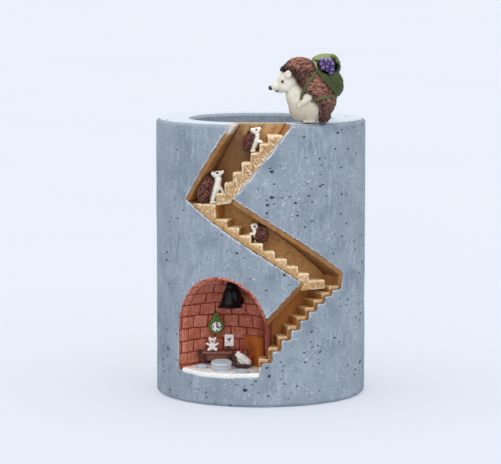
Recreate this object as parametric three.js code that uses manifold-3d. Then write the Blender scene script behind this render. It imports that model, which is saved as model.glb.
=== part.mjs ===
// Hedgehog planter: a round cement-look pot with a stairwell zigzagging down its
// wall into a brick room, four little hedgehogs and a lift-out drain plug.
// Millimetres, +Z up. The pot stands on z = 0, its axis is Z and its front is -Y.
// Places on the wall are given as [along, z]: arc length on the outer wall, measured
// from the front towards +X, and height.

import * as THREE from 'three';
import { mergeVertices } from 'three/addons/utils/BufferGeometryUtils.js';
import Module from 'manifold-3d';

const wasm = await Module();
wasm.setup();

// Fits
const CLEARANCE = 0.3;

// Pot
const POT_RADIUS = 43;
const POT_HEIGHT = 113.4;
const EDGE_ROUND = 1.2;
const CAVITY_RADIUS = 28.5;
const CAVITY_TAPER = 2.5;
const CAVITY_FLOOR_Z = 9;
const CAVITY_CORNER = 3;
const FOOT_RING_WIDTH = 7;
const UNDERSIDE_HOLLOW = 1.5;
const DRAIN_RADIUS = 5;
const POT_SIDES = 64;
const FACET = (2 * Math.PI * POT_RADIUS) / POT_SIDES;

// Drain plug
const PLUG_FLANGE_RADIUS = 7.5;
const PLUG_FLANGE_HEIGHT = 1.8;
const PLUG_KNOB_RADIUS = 2.2;
const PLUG_KNOB_HEIGHT = 5;

// Stairwell cut in the wall
const RECESS_DEPTH = 10.5;
const LINER_THICKNESS = 1.2;
const STEP_FRONT_SETBACK = 0.6;
const CUT_REACH = 6;

// Upper flight, climbing right from the left landing to just under the rim
const UPPER_STEPS = 7;
const UPPER_RUN = 3.57;
const UPPER_FIRST_RISE = 4.65;
const UPPER_RISE_CHANGE = -0.22;
const UPPER_START = -18.4;
const TOP_STEP_DROP = 4.5;

// Middle flight, going down right to the right landing
const MIDDLE_STEPS = 8;
const MIDDLE_RUN = 4.86;
const MIDDLE_RISE = 3.1;
const MIDDLE_START = -19;
const LEFT_LANDING_DROP = 5.8;
const RIGHT_LANDING_LENGTH = 7.7;
const RIGHT_LANDING_THICKNESS = 3.1;

// Lower flight, going down left into the room
const LOWER_STEPS = 8;
const LOWER_RUN = 3.88;
const LOWER_FIRST_DROP = 2.28;
const LOWER_DROP_CHANGE = 0.345;
const LOWER_END = -0.7;
const LOWER_TOP_DROP = 3;
const TREAD_THICKNESS = 1;

// Corners of the stairwell's outline, relative to the landings
const RIM_GAP_LEFT = -12.4;
const RIM_GAP_RIGHT = 13;
const LEFT_TIP = [-33.8, 2];
const UPPER_INNER_CORNER = [-11.3, 2.6];
const RIGHT_TIP = [37.7, 2.1];
const RIGHT_FOOT = [36.6, -6.4];
const LOWER_INNER_CORNER = [16.6, 0.1];
const LOWER_CEILING_SLOPE = 1.03;
const LOWER_BED_DEPTH = 5;

// Brick room
const ROOM_ANGLE = THREE.MathUtils.degToRad(-23.6);
const ROOM_SETBACK = 4.8;
const ROOM_RADIUS = 19.6;
const ROOM_SPRING_Z = 30;
const ROOM_TOP_Z = 52.8;
const ROOM_WALL = 3;
const ROOM_SIDES = 32;
const BRICK_THICKNESS = 1.6;
const FLOOR_AXIS_Z = 12.3;
const FLOOR_TILT = THREE.MathUtils.degToRad(6.8);
const FLOOR_THICKNESS = 1;

// Door on the room's wall, by angle round the room's axis from straight back
const DOOR_FROM = THREE.MathUtils.degToRad(30);
const DOOR_TO = THREE.MathUtils.degToRad(72);
const DOOR_THICKNESS = 1;
const DOOR_TOP_Z = 26.2;
const DOOR_KNOB_RADIUS = 0.55;
const DOOR_KNOB_INSET = THREE.MathUtils.degToRad(6.3);

// Gooseneck lamp
const SHADE_RADIUS = 5.1;
const SHADE_HEIGHT = 8.4;
const SHADE_NECK_RADIUS = 1.5;
const SHADE_WALL = 0.6;
const SHADE_BOTTOM_Z = 38;
const SHADE_OFFSET = [2.8, 7];
const LAMP_ARM_RADIUS = 1;
const LAMP_ARM_WALL_Z = 39.5;

// Wall clock
const CLOCK_ANGLE = THREE.MathUtils.degToRad(-10.5);
const CLOCK_Z = 29.5;
const CLOCK_RADIUS = 3.1;
const CLOCK_SHOULDER = THREE.MathUtils.degToRad(25);
const CLOCK_WAIST = 1.4;
const CLOCK_NECK = 0.7;
const CLOCK_TOP = 5.4;
const CLOCK_DEPTH = 1.4;
const DIAL_RADIUS = 2;
const DIAL_DEPTH = 0.5;
const HAND_WIDTH = 0.35;
const HAND_DEPTH = 0.25;

// Bench at the back of the room, in the floor's own frame
const BENCH_LEFT = -8.3;
const BENCH_LENGTH = 12;
const BENCH_DEPTH = 3.8;
const BENCH_HEIGHT = 6.2;
const BENCH_TOP = 1.1;
const BENCH_LEG = 1.3;
const BENCH_APRON = 2.6;
const BENCH_SCROLL_RADIUS = 0.95;
const BENCH_SCROLL_LENGTH = 3;
const BENCH_SCROLL_SETBACK = 0.8;

// Things on the bench
const BEAR_OFFSET = 3.9;
const BEAR_HEIGHT = 5.7;
const PICTURE_OFFSET = 10.7;
const PICTURE_WIDTH = 3.6;
const PICTURE_HEIGHT = 4.7;
const PICTURE_DEPTH = 0.6;
const PICTURE_BORDER = 0.6;
const PICTURE_STAND_HEIGHT = 1.5;
const PICTURE_STAND_WIDTH = 2;
const PICTURE_STAND_TOP = 1;
const PICTURE_STAND_DEPTH = 1.2;
const PICTURE_STAND_SHIFT = -0.6;

// Things on the floor, in the floor's own frame
const DRUM_RADIUS = 4.3;
const DRUM_HEIGHT = 3.4;
const DRUM_EDGE = 0.4;
const DRUM_CHAIR_GAP = 0.4;
const DRUM_BENCH_GAP = 0.5;
const LEFT_STOOL_RADIUS = 2.2;
const LEFT_STOOL_HEIGHT = 1.2;
const STOOL_DRUM_GAP = 1.4;
const MAT_RADIUS = 3.1;
const MAT_HEIGHT = 0.7;
const MAT_CHAIR_GAP = 1.9;
const MAT_SHIFT = -0.6;

// Rocking chair, in the floor's own frame
const CHAIR_BENCH_GAP = 0.5;
const CHAIR_LENGTH = 8.2;
const CHAIR_WIDTH = 3.6;
const CHAIR_BACK_HEIGHT = 6.4;
const CHAIR_BAR = 0.8;
const BLANKET_THICKNESS = 2.2;

// Rim hedgehog
const RIM_HEDGEHOG_ANGLE = THREE.MathUtils.degToRad(29.6);
const RIM_HEDGEHOG_INSET = 4.5;
const NOSE_RADIUS = 1;
const EYE_RADIUS = 0.55;
const STRAP_RADIUS = 0.45;
const GRAPE_RADIUS = 1.15;
const GRAPE_PITCH = 1.75;
const GRAPE_ROW = 1.6;
const GRAPE_TOP = 24.7;
const GRAPE_DEPTH = 5.4;
const LEAF_THICKNESS = 0.9;
const LEAF_EDGE_Z = 25;
const LEAF_END_X = 9.6;

// Stair hedgehogs
const LANDING_HEDGEHOG_SETBACK = 3.1;
const UPPER_HEDGEHOG_TREAD = 4;
const MIDDLE_HEDGEHOG_TREAD = 3;
const MIDDLE_HEDGEHOG_SETBACK = 2.85;
const SMALL_NOSE_RADIUS = 0.5;

// Finishes
const finish = (color, roughness) => new THREE.MeshStandardMaterial({ color, roughness, metalness: 0 });
const CEMENT = finish(0x94a3b6, 0.85);
const TAN = finish(0xb48a52, 0.8);
const STEP_TAN = finish(0xcdb084, 0.8);
const BRICK = finish(0xb46a58, 0.85);
const WHITE = finish(0xe9e8e4, 0.7);
const WOOD = finish(0x6b4436, 0.7);
const DARK_WOOD = finish(0x32272a, 0.7);
const DOOR_WOOD = finish(0x96551f, 0.65);
const BLACK = finish(0x14161a, 0.4);
const LEAF_GREEN = finish(0x4b6e2d, 0.6);
const PALE_GREY = finish(0xb9c1cc, 0.7);
const CREAM = finish(0xe6ddc8, 0.6);
const SPINE_BROWN = finish(0x5b3022, 0.75);
const GRAPE_PURPLE = finish(0x6e55aa, 0.45);
const RED = finish(0xa02a26, 0.6);
const RUBBER = finish(0x2b2b2b, 0.9);

const planter = new THREE.Group();

// Solids

function solidFrom(geometry) {
  const bare = geometry.clone();
  bare.deleteAttribute('normal');
  bare.deleteAttribute('uv');
  const merged = mergeVertices(bare, 1e-4);
  const corners = merged.index.array;
  const triangles = [];
  for (let i = 0; i < corners.length; i += 3) {
    const [a, b, c] = [corners[i], corners[i + 1], corners[i + 2]];
    if (a !== b && b !== c && c !== a) triangles.push(a, b, c);
  }
  const vertProperties = new Float32Array(merged.attributes.position.array);
  const triVerts = new Uint32Array(triangles);
  return new wasm.Manifold(new wasm.Mesh({ numProp: 3, vertProperties, triVerts }));
}

function geometryFrom(solid) {
  const mesh = solid.getMesh();
  const geometry = new THREE.BufferGeometry();
  geometry.setAttribute('position', new THREE.BufferAttribute(mesh.vertProperties, 3));
  geometry.setIndex(new THREE.BufferAttribute(mesh.triVerts, 1));
  geometry.computeVertexNormals();
  return geometry;
}

const joined = (solids) => solids.reduce((whole, solid) => whole.add(solid));

function addPiece(name, solid, material, parent = planter) {
  const mesh = new THREE.Mesh(geometryFrom(solid), material);
  mesh.name = name;
  parent.add(mesh);
}

function lathe(profile, sides) {
  const points = profile.map(([radius, z]) => new THREE.Vector2(radius, z));
  return new THREE.LatheGeometry(points, sides).rotateX(Math.PI / 2);
}

function box(width, depth, height, x, y, z) {
  return new THREE.BoxGeometry(width, depth, height).translate(x, y, z + height / 2);
}

function disc(radius, height, x, y, z, sides = 28) {
  return lathe([[0, 0], [radius, 0], [radius, height], [0, height]], sides).translate(x, y, z);
}

// An ellipsoid whose long axes lean by tilt degrees about Y, grown on every side.
function ellipsoid({ at, radii, tilt = 0 }, grow = 0, sides = 16) {
  return new THREE.SphereGeometry(1, sides, Math.round(sides * 0.6))
    .rotateX(Math.PI / 2)
    .scale(radii[0] + grow, radii[1] + grow, radii[2] + grow)
    .rotateY(THREE.MathUtils.degToRad(tilt))
    .translate(...at);
}

const blob = (shape, grow, sides) => solidFrom(ellipsoid(shape, grow, sides));
const blobs = (shapes, grow, sides) => joined(shapes.map((shape) => blob(shape, grow, sides)));

function tube(points, radius, steps, sides = 6) {
  const section = new THREE.Shape();
  section.absarc(0, 0, radius, 0, 2 * Math.PI);
  const extrudePath = new THREE.CatmullRomCurve3(points.map((point) => new THREE.Vector3(...point)));
  const options = { steps, extrudePath, bevelEnabled: false, curveSegments: sides };
  return new THREE.ExtrudeGeometry(section, options);
}

const shapeFrom = (points) => new THREE.Shape(points.map((point) => new THREE.Vector2(...point)));

// An outline in x and z, extruded along y about its middle.
function slabFromOutline(outline, depth, curveSegments = 8) {
  const shape = Array.isArray(outline) ? shapeFrom(outline) : outline;
  return new THREE.ExtrudeGeometry(shape, { depth, bevelEnabled: false, curveSegments })
    .translate(0, 0, -depth / 2)
    .rotateX(Math.PI / 2);
}

// Places on the pot's wall

const between = (p, q, share) => [p[0] + (q[0] - p[0]) * share, p[1] + (q[1] - p[1]) * share];

// A point on the flat facets of the round wall at a given radius.
function onWall([along, z], radius) {
  const facet = Math.floor(along / FACET);
  const corner = (k) => [Math.sin((k * FACET) / POT_RADIUS), -Math.cos((k * FACET) / POT_RADIUS)];
  const [x, y] = between(corner(facet), corner(facet + 1), along / FACET - facet);
  return [radius * x, radius * y, z];
}

// The outline with a point added wherever an edge passes from one facet to the next.
function splitAtFacets(outline) {
  return outline.flatMap((p, i) => {
    const q = outline[(i + 1) % outline.length];
    const low = Math.floor(Math.min(p[0], q[0]) / FACET) + 1;
    const high = Math.ceil(Math.max(p[0], q[0]) / FACET) - 1;
    const cuts = [];
    for (let k = low; k <= high; k++) cuts.push(between(p, q, (k * FACET - p[0]) / (q[0] - p[0])));
    return [p, ...(p[0] < q[0] ? cuts : cuts.reverse())];
  });
}

// A convex outline on the wall, anticlockwise from outside, as a block between two radii.
function wallBlock(outline, outerRadius, innerRadius) {
  const points = splitAtFacets(outline);
  const positions = points.flatMap((point) => [...onWall(point, outerRadius), ...onWall(point, innerRadius)]);
  const triangles = [];
  const edges = new Set();
  const first = Math.floor(Math.min(...points.map(([along]) => along)) / FACET);
  const last = Math.ceil(Math.max(...points.map(([along]) => along)) / FACET);
  for (let k = first; k < last; k++) {
    const inFacet = ([along]) => along > (k - 1e-6) * FACET && along < (k + 1 + 1e-6) * FACET;
    const cell = [...points.keys()].filter((i) => inFacet(points[i]));
    if (cell.length < 3) continue;
    cell.forEach((a, n) => edges.add(`${a} ${cell[(n + 1) % cell.length]}`));
    for (let n = 1; n < cell.length - 1; n++) {
      const [a, b, c] = [2 * cell[0], 2 * cell[n], 2 * cell[n + 1]];
      triangles.push(a, b, c, a + 1, c + 1, b + 1);
    }
  }
  for (const edge of edges) {
    const [from, to] = edge.split(' ').map(Number);
    if (edges.has(`${to} ${from}`)) continue;
    const [a, b] = [2 * from, 2 * to];
    triangles.push(a, a + 1, b + 1, a, b + 1, b);
  }
  const geometry = new THREE.BufferGeometry();
  geometry.setAttribute('position', new THREE.Float32BufferAttribute(positions, 3));
  geometry.setIndex(triangles);
  return solidFrom(geometry);
}

function stepBlock(from, to, low, high, outerRadius, innerRadius) {
  return wallBlock([[from, low], [to, low], [to, high], [from, high]], outerRadius, innerRadius);
}

// Levels of the stairs

function climb(start, firstRise, change, count) {
  const levels = [];
  let z = start;
  for (let i = 0; i < count; i++) {
    z += firstRise + change * i;
    levels.push(z);
  }
  return levels;
}

const upperRises = climb(0, UPPER_FIRST_RISE, UPPER_RISE_CHANGE, UPPER_STEPS);
const leftLandingZ = POT_HEIGHT - TOP_STEP_DROP - upperRises[UPPER_STEPS - 1];
const upperTreads = upperRises.map((rise) => leftLandingZ + rise);
const middleTreads = climb(leftLandingZ - LEFT_LANDING_DROP + MIDDLE_RISE, -MIDDLE_RISE, 0, MIDDLE_STEPS);
const rightLandingZ = middleTreads[MIDDLE_STEPS - 1] - MIDDLE_RISE;
const middleEnd = MIDDLE_START + MIDDLE_STEPS * MIDDLE_RUN;
const lowerTopZ = rightLandingZ - LOWER_TOP_DROP;
const lowerTreads = [lowerTopZ, ...climb(lowerTopZ, -LOWER_FIRST_DROP, -LOWER_DROP_CHANGE, LOWER_STEPS)];
const lowerStart = LOWER_END + LOWER_STEPS * LOWER_RUN;

// Stairwell outline

const fromLanding = ([along, rise], landingZ) => [along, landingZ + rise];
const leftTip = fromLanding(LEFT_TIP, leftLandingZ);
const upperInner = fromLanding(UPPER_INNER_CORNER, leftLandingZ);
const rightTip = fromLanding(RIGHT_TIP, rightLandingZ);
const rightFoot = fromLanding(RIGHT_FOOT, rightLandingZ);
const lowerInner = fromLanding(LOWER_INNER_CORNER, rightLandingZ);
const roomFoot = [LOWER_END, lowerTreads[LOWER_STEPS] - LOWER_BED_DEPTH];
const roomHead = [LOWER_END, lowerInner[1] - (lowerInner[0] - LOWER_END) * LOWER_CEILING_SLOPE];
const wellOutline = [
  { corner: [RIM_GAP_LEFT, POT_HEIGHT], edge: 'open' },
  { corner: [RIM_GAP_RIGHT, POT_HEIGHT], edge: 'floor' },
  { corner: upperInner, edge: 'wall' },
  { corner: rightTip, edge: 'wall' },
  { corner: rightFoot, edge: 'floor' },
  { corner: roomFoot, edge: 'open' },
  { corner: roomHead, edge: 'wall' },
  { corner: lowerInner, edge: 'floor' },
  { corner: leftTip, edge: 'wall' },
];

function crossing(p, towards, q, onwards) {
  const [ux, uz] = towards;
  const [vx, vz] = onwards;
  const share = ((q[0] - p[0]) * vz - (q[1] - p[1]) * vx) / (ux * vz - uz * vx);
  return [p[0] + ux * share, p[1] + uz * share];
}

// The outline's corners with each kind of edge moved inwards by its own inset.
function insetCorners(insets) {
  const edges = wellOutline.map(({ corner, edge }, i) => {
    const next = wellOutline[(i + 1) % wellOutline.length].corner;
    const along = next[0] - corner[0];
    const up = next[1] - corner[1];
    const length = Math.hypot(along, up);
    const shift = insets[edge] / length;
    return { start: [corner[0] + up * shift, corner[1] - along * shift], run: [along, up] };
  });
  return edges.map((edge, i) => {
    const before = edges[(i + edges.length - 1) % edges.length];
    return crossing(before.start, before.run, edge.start, edge.run);
  });
}

// The stairwell's legs as outlines on the wall: upper, middle, lower and the right turn.
function wellLegs(insets) {
  const corners = insetCorners({ ...insets, open: -CUT_REACH });
  const [topLeft, topRight, upper, right, foot, roomLow, roomHigh, lower, left] = corners;
  const line = (from, to) => [to[0] - from[0], to[1] - from[1]];
  const upperBase = crossing(topRight, line(topRight, upper), left, line(left, lower));
  const lowerTop = crossing(roomHigh, line(roomHigh, lower), upper, line(upper, right));
  return [
    [left, upperBase, topRight, topLeft],
    [left, lower, right, upper],
    [roomLow, foot, lowerTop, roomHigh],
    [between(foot, roomLow, 0.25), foot, right, between(right, upper, 0.3)],
  ];
}

function well(insets, outerRadius, innerRadius) {
  return joined(wellLegs(insets).map((leg) => wallBlock(leg, outerRadius, innerRadius)));
}

const RECESS_RADIUS = POT_RADIUS - RECESS_DEPTH;
const LINER_BACK = RECESS_RADIUS + CLEARANCE;
const LINER_FACE = LINER_BACK + LINER_THICKNESS;
const OUTSIDE = POT_RADIUS + CUT_REACH;
const STEP_FRONT = POT_RADIUS - STEP_FRONT_SETBACK;
const STEP_BACK = LINER_FACE + CLEARANCE;
const INNER_INSET = 2 * CLEARANCE + LINER_THICKNESS;

// Room frame

const roomAxis = [
  (POT_RADIUS - ROOM_SETBACK) * Math.sin(ROOM_ANGLE),
  -(POT_RADIUS - ROOM_SETBACK) * Math.cos(ROOM_ANGLE),
];

function domeProfile(radius, top, steps = 7) {
  const profile = [[0, 0], [radius, 0]];
  for (let i = 0; i < steps; i++) {
    const angle = (i / steps) * (Math.PI / 2);
    profile.push([radius * Math.cos(angle), ROOM_SPRING_Z + (top - ROOM_SPRING_Z) * Math.sin(angle)]);
  }
  profile.push([0, top]);
  return profile;
}

const dome = (inset) => solidFrom(
  lathe(domeProfile(ROOM_RADIUS - inset, ROOM_TOP_Z - inset), ROOM_SIDES).translate(...roomAxis, 0),
);

const roomInner = ROOM_RADIUS - CLEARANCE - BRICK_THICKNESS;
const doorOuter = roomInner - CLEARANCE;
const doorInner = doorOuter - DOOR_THICKNESS;

// Everything below the sloping room floor, raised by lift.
function belowFloor(lift) {
  const size = 4 * ROOM_RADIUS;
  const block = new THREE.BoxGeometry(size, size, size).translate(0, 0, lift - size / 2);
  return solidFrom(block.rotateX(FLOOR_TILT).translate(...roomAxis, FLOOR_AXIS_Z));
}

function domeRadiusAt(z, inset) {
  const radius = ROOM_RADIUS - inset;
  const rise = Math.max(0, z - ROOM_SPRING_Z) / (ROOM_TOP_Z - inset - ROOM_SPRING_Z);
  return radius * Math.sqrt(1 - rise * rise);
}

// The pot's outer form without its hollows; pieces in the wall end flush with it.
const envelope = solidFrom(lathe([
  [0, 0],
  [POT_RADIUS - EDGE_ROUND, 0],
  [POT_RADIUS, EDGE_ROUND],
  [POT_RADIUS, POT_HEIGHT - EDGE_ROUND],
  [POT_RADIUS - EDGE_ROUND, POT_HEIGHT],
  [0, POT_HEIGHT],
], POT_SIDES));

// Stair flights. Each can be grown to cut its own seat in a neighbour.

function lowerStairs(sink, innerRadius, rightEnd, bottom) {
  const blocks = lowerTreads.map((z, i) => {
    const from = lowerStart - i * LOWER_RUN + sink;
    return stepBlock(from, rightEnd, bottom, z - sink, OUTSIDE, innerRadius);
  });
  return joined(blocks);
}

function upperFlight(grow) {
  const [upperLeg, middleLeg] = wellLegs({ wall: INNER_INSET - grow, floor: CLEARANCE - grow });
  const innerCorner = middleLeg[3];
  const rimCorner = upperLeg[2];
  const left = UPPER_START - 2 * CLEARANCE;
  const region = [[left, leftLandingZ + CLEARANCE - grow], innerCorner, rimCorner, [left, rimCorner[1]]];
  const blocks = upperTreads.map((z, i) => stepBlock(
    UPPER_START + i * UPPER_RUN - grow, RIM_GAP_RIGHT + CUT_REACH,
    leftLandingZ - CUT_REACH, z + grow, STEP_FRONT + grow + 1, STEP_BACK - grow - 1,
  ));
  return joined(blocks).intersect(wallBlock(region, STEP_FRONT + grow, STEP_BACK - grow));
}

function stairRegion(grow) {
  return well({ wall: INNER_INSET - grow, floor: CLEARANCE - grow }, STEP_FRONT + grow, STEP_BACK - grow);
}

function middleFlight(grow) {
  const overlap = MIDDLE_RUN / 2;
  const blocks = middleTreads.map((z, i) => {
    const from = MIDDLE_START + i * MIDDLE_RUN - (i > 0 ? overlap : grow);
    const to = MIDDLE_START + (i + 1) * MIDDLE_RUN + grow;
    return stepBlock(from, to, z - 2 * MIDDLE_RISE - grow, z + grow, STEP_FRONT + 1, STEP_BACK - 1);
  });
  return joined(blocks).intersect(stairRegion(grow));
}

function leftLanding(grow) {
  const block = stepBlock(
    leftTip[0] - CUT_REACH, MIDDLE_START - CLEARANCE + grow,
    leftLandingZ - 4 * CUT_REACH, leftLandingZ + grow, STEP_FRONT + 1, STEP_BACK - 1,
  );
  return block.intersect(stairRegion(grow));
}

function rightLanding(grow) {
  const from = middleEnd + CLEARANCE - grow;
  const to = middleEnd + RIGHT_LANDING_LENGTH + grow;
  const low = rightLandingZ - RIGHT_LANDING_THICKNESS - grow;
  return stepBlock(from, to, low, rightLandingZ + grow, STEP_FRONT + grow, STEP_BACK - grow);
}

function lowerFlight() {
  const rightEnd = rightFoot[0] - INNER_INSET;
  const treads = lowerStairs(0, STEP_BACK, rightEnd, 0);
  const bed = lowerStairs(TREAD_THICKNESS, STEP_BACK - 1, OUTSIDE, -1);
  return treads.subtract(bed).intersect(envelope).subtract(belowFloor(CLEARANCE));
}

function addStairs() {
  const shell = well({ wall: CLEARANCE, floor: CLEARANCE }, OUTSIDE, LINER_BACK);
  const inside = well({ wall: CLEARANCE + LINER_THICKNESS, floor: -CUT_REACH / 2 }, OUTSIDE + 1, LINER_FACE);
  const bed = lowerStairs(TREAD_THICKNESS, LINER_BACK - 2, OUTSIDE, 0);
  const liner = shell.subtract(inside).subtract(bed).subtract(dome(0)).intersect(envelope);
  addPiece('stairwell_liner', liner, TAN);
  addPiece('upper_flight', upperFlight(0), STEP_TAN);
  addPiece('left_landing', leftLanding(0), STEP_TAN);
  addPiece('middle_flight', middleFlight(0), STEP_TAN);
  addPiece('right_landing', rightLanding(0), STEP_TAN);
  addPiece('lower_flight', lowerFlight(), STEP_TAN);
}

// Pot and plug

function addPot() {
  const cavityFloorRadius = CAVITY_RADIUS - CAVITY_TAPER;
  const shell = solidFrom(lathe([
    [DRAIN_RADIUS, UNDERSIDE_HOLLOW],
    [POT_RADIUS - EDGE_ROUND - FOOT_RING_WIDTH - UNDERSIDE_HOLLOW, UNDERSIDE_HOLLOW],
    [POT_RADIUS - EDGE_ROUND - FOOT_RING_WIDTH, 0],
    [POT_RADIUS - EDGE_ROUND, 0],
    [POT_RADIUS, EDGE_ROUND],
    [POT_RADIUS, POT_HEIGHT - EDGE_ROUND],
    [POT_RADIUS - EDGE_ROUND, POT_HEIGHT],
    [CAVITY_RADIUS + EDGE_ROUND, POT_HEIGHT],
    [CAVITY_RADIUS, POT_HEIGHT - EDGE_ROUND],
    [cavityFloorRadius, CAVITY_FLOOR_Z + CAVITY_CORNER],
    [cavityFloorRadius - CAVITY_CORNER, CAVITY_FLOOR_Z],
    [DRAIN_RADIUS, CAVITY_FLOOR_Z],
    [DRAIN_RADIUS, UNDERSIDE_HOLLOW],
  ], POT_SIDES));
  const wallMiddle = (RECESS_RADIUS + CAVITY_RADIUS) / 2;
  const core = solidFrom(disc(wallMiddle, POT_HEIGHT - CAVITY_FLOOR_Z, 0, 0, CAVITY_FLOOR_Z / 2, POT_SIDES));
  const roomShell = dome(-ROOM_WALL).intersect(core);
  const stairBed = lowerStairs(TREAD_THICKNESS + CLEARANCE, RECESS_RADIUS - 1, OUTSIDE + 2, 0);
  const hollows = dome(0)
    .subtract(belowFloor(-FLOOR_THICKNESS - CLEARANCE))
    .add(well({ wall: 0, floor: 0 }, OUTSIDE, RECESS_RADIUS))
    .subtract(belowFloor(-FLOOR_THICKNESS - CLEARANCE))
    .subtract(stairBed);
  addPiece('pot_body', shell.add(roomShell).subtract(hollows), CEMENT);
}

function addDrainPlug() {
  const seat = CAVITY_FLOOR_Z + CLEARANCE;
  const stem = DRAIN_RADIUS - CLEARANCE;
  const top = seat + PLUG_FLANGE_HEIGHT;
  addPiece('drain_plug', solidFrom(lathe([
    [0, UNDERSIDE_HOLLOW + CLEARANCE],
    [stem - EDGE_ROUND, UNDERSIDE_HOLLOW + CLEARANCE],
    [stem, UNDERSIDE_HOLLOW + CLEARANCE + EDGE_ROUND],
    [stem, seat],
    [PLUG_FLANGE_RADIUS, seat],
    [PLUG_FLANGE_RADIUS, top],
    [PLUG_KNOB_RADIUS * 0.7, top],
    [PLUG_KNOB_RADIUS, top + PLUG_KNOB_HEIGHT * 0.6],
    [PLUG_KNOB_RADIUS * 0.8, top + PLUG_KNOB_HEIGHT],
    [0, top + PLUG_KNOB_HEIGHT],
  ], 24)), RUBBER);
}

// Brick room

function addRoomShell() {
  const stairs = lowerStairs(-CLEARANCE, STEP_BACK - CLEARANCE, OUTSIDE, 0);
  const stairBed = lowerStairs(TREAD_THICKNESS, RECESS_RADIUS - 1 - CLEARANCE, OUTSIDE, 0);
  const bricks = dome(CLEARANCE).subtract(dome(CLEARANCE + BRICK_THICKNESS))
    .subtract(belowFloor(-FLOOR_THICKNESS));
  addPiece('brick_room_shell', bricks.intersect(envelope).subtract(stairs).subtract(stairBed), BRICK);
  const room = solidFrom(disc(
    ROOM_RADIUS - BRICK_THICKNESS - 2 * CLEARANCE, ROOM_SPRING_Z, ...roomAxis, 0, ROOM_SIDES,
  ));
  const slab = room.intersect(belowFloor(0)).subtract(belowFloor(-FLOOR_THICKNESS)).intersect(envelope);
  addPiece('room_floor', slab.subtract(stairs).subtract(stairBed), WHITE);
}

const roomPlace = (angle, radius, z) => [
  roomAxis[0] + radius * Math.sin(angle), roomAxis[1] + radius * Math.cos(angle), z,
];

function addDoor() {
  const outline = new THREE.Shape();
  outline.absarc(0, 0, doorOuter, Math.PI / 2 - DOOR_FROM, Math.PI / 2 - DOOR_TO, true);
  outline.absarc(0, 0, doorInner, Math.PI / 2 - DOOR_TO, Math.PI / 2 - DOOR_FROM, false);
  const options = { depth: DOOR_TOP_Z, bevelEnabled: false, curveSegments: 6 };
  const panel = new THREE.ExtrudeGeometry(outline, options);
  const door = solidFrom(panel.translate(...roomAxis, 0)).subtract(belowFloor(CLEARANCE));
  addPiece('room_door', door, DOOR_WOOD);
  const knobRadius = doorInner - CLEARANCE - DOOR_KNOB_RADIUS;
  const knobPlace = roomPlace(DOOR_FROM + DOOR_KNOB_INSET, knobRadius, (DOOR_TOP_Z + FLOOR_AXIS_Z) / 2);
  const knob = { at: knobPlace, radii: [DOOR_KNOB_RADIUS, DOOR_KNOB_RADIUS, DOOR_KNOB_RADIUS] };
  addPiece('door_knob', blob(knob, 0, 8), BLACK);
}

function addLamp() {
  const [x, y] = [roomAxis[0] + SHADE_OFFSET[0], roomAxis[1] + SHADE_OFFSET[1]];
  const bell = (inset) => [
    [0, -inset],
    [SHADE_RADIUS - inset, -inset],
    [SHADE_RADIUS * 0.86 - inset, SHADE_HEIGHT * 0.22 - inset],
    [SHADE_RADIUS * 0.62 - inset, SHADE_HEIGHT * 0.6 - inset],
    [SHADE_NECK_RADIUS - inset, SHADE_HEIGHT - inset],
    [0, SHADE_HEIGHT - inset],
  ];
  const form = (inset) => solidFrom(lathe(bell(inset), 20).translate(x, y, SHADE_BOTTOM_Z));
  addPiece('lamp_shade', form(0).subtract(form(SHADE_WALL)), BLACK);
  const top = SHADE_BOTTOM_Z + SHADE_HEIGHT + CLEARANCE;
  const wallRadius = domeRadiusAt(LAMP_ARM_WALL_Z, CLEARANCE + BRICK_THICKNESS);
  const wallSide = SHADE_OFFSET[0] + SHADE_RADIUS;
  const wallDepth = Math.sqrt(wallRadius ** 2 - wallSide ** 2) - LAMP_ARM_RADIUS - CLEARANCE;
  const arm = tube([
    [x, y, top],
    [x + 0.4, y, top + 1],
    [x + SHADE_RADIUS * 0.5, y + 1, top + 0.4],
    [x + SHADE_RADIUS * 0.9, roomAxis[1] + wallDepth - 1.5, top - 4],
    [roomAxis[0] + wallSide, roomAxis[1] + wallDepth, LAMP_ARM_WALL_Z],
  ], LAMP_ARM_RADIUS, 9);
  const room = dome(2 * CLEARANCE + BRICK_THICKNESS);
  addPiece('lamp_arm', solidFrom(arm).intersect(room).subtract(form(-CLEARANCE)), BLACK);
}

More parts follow.
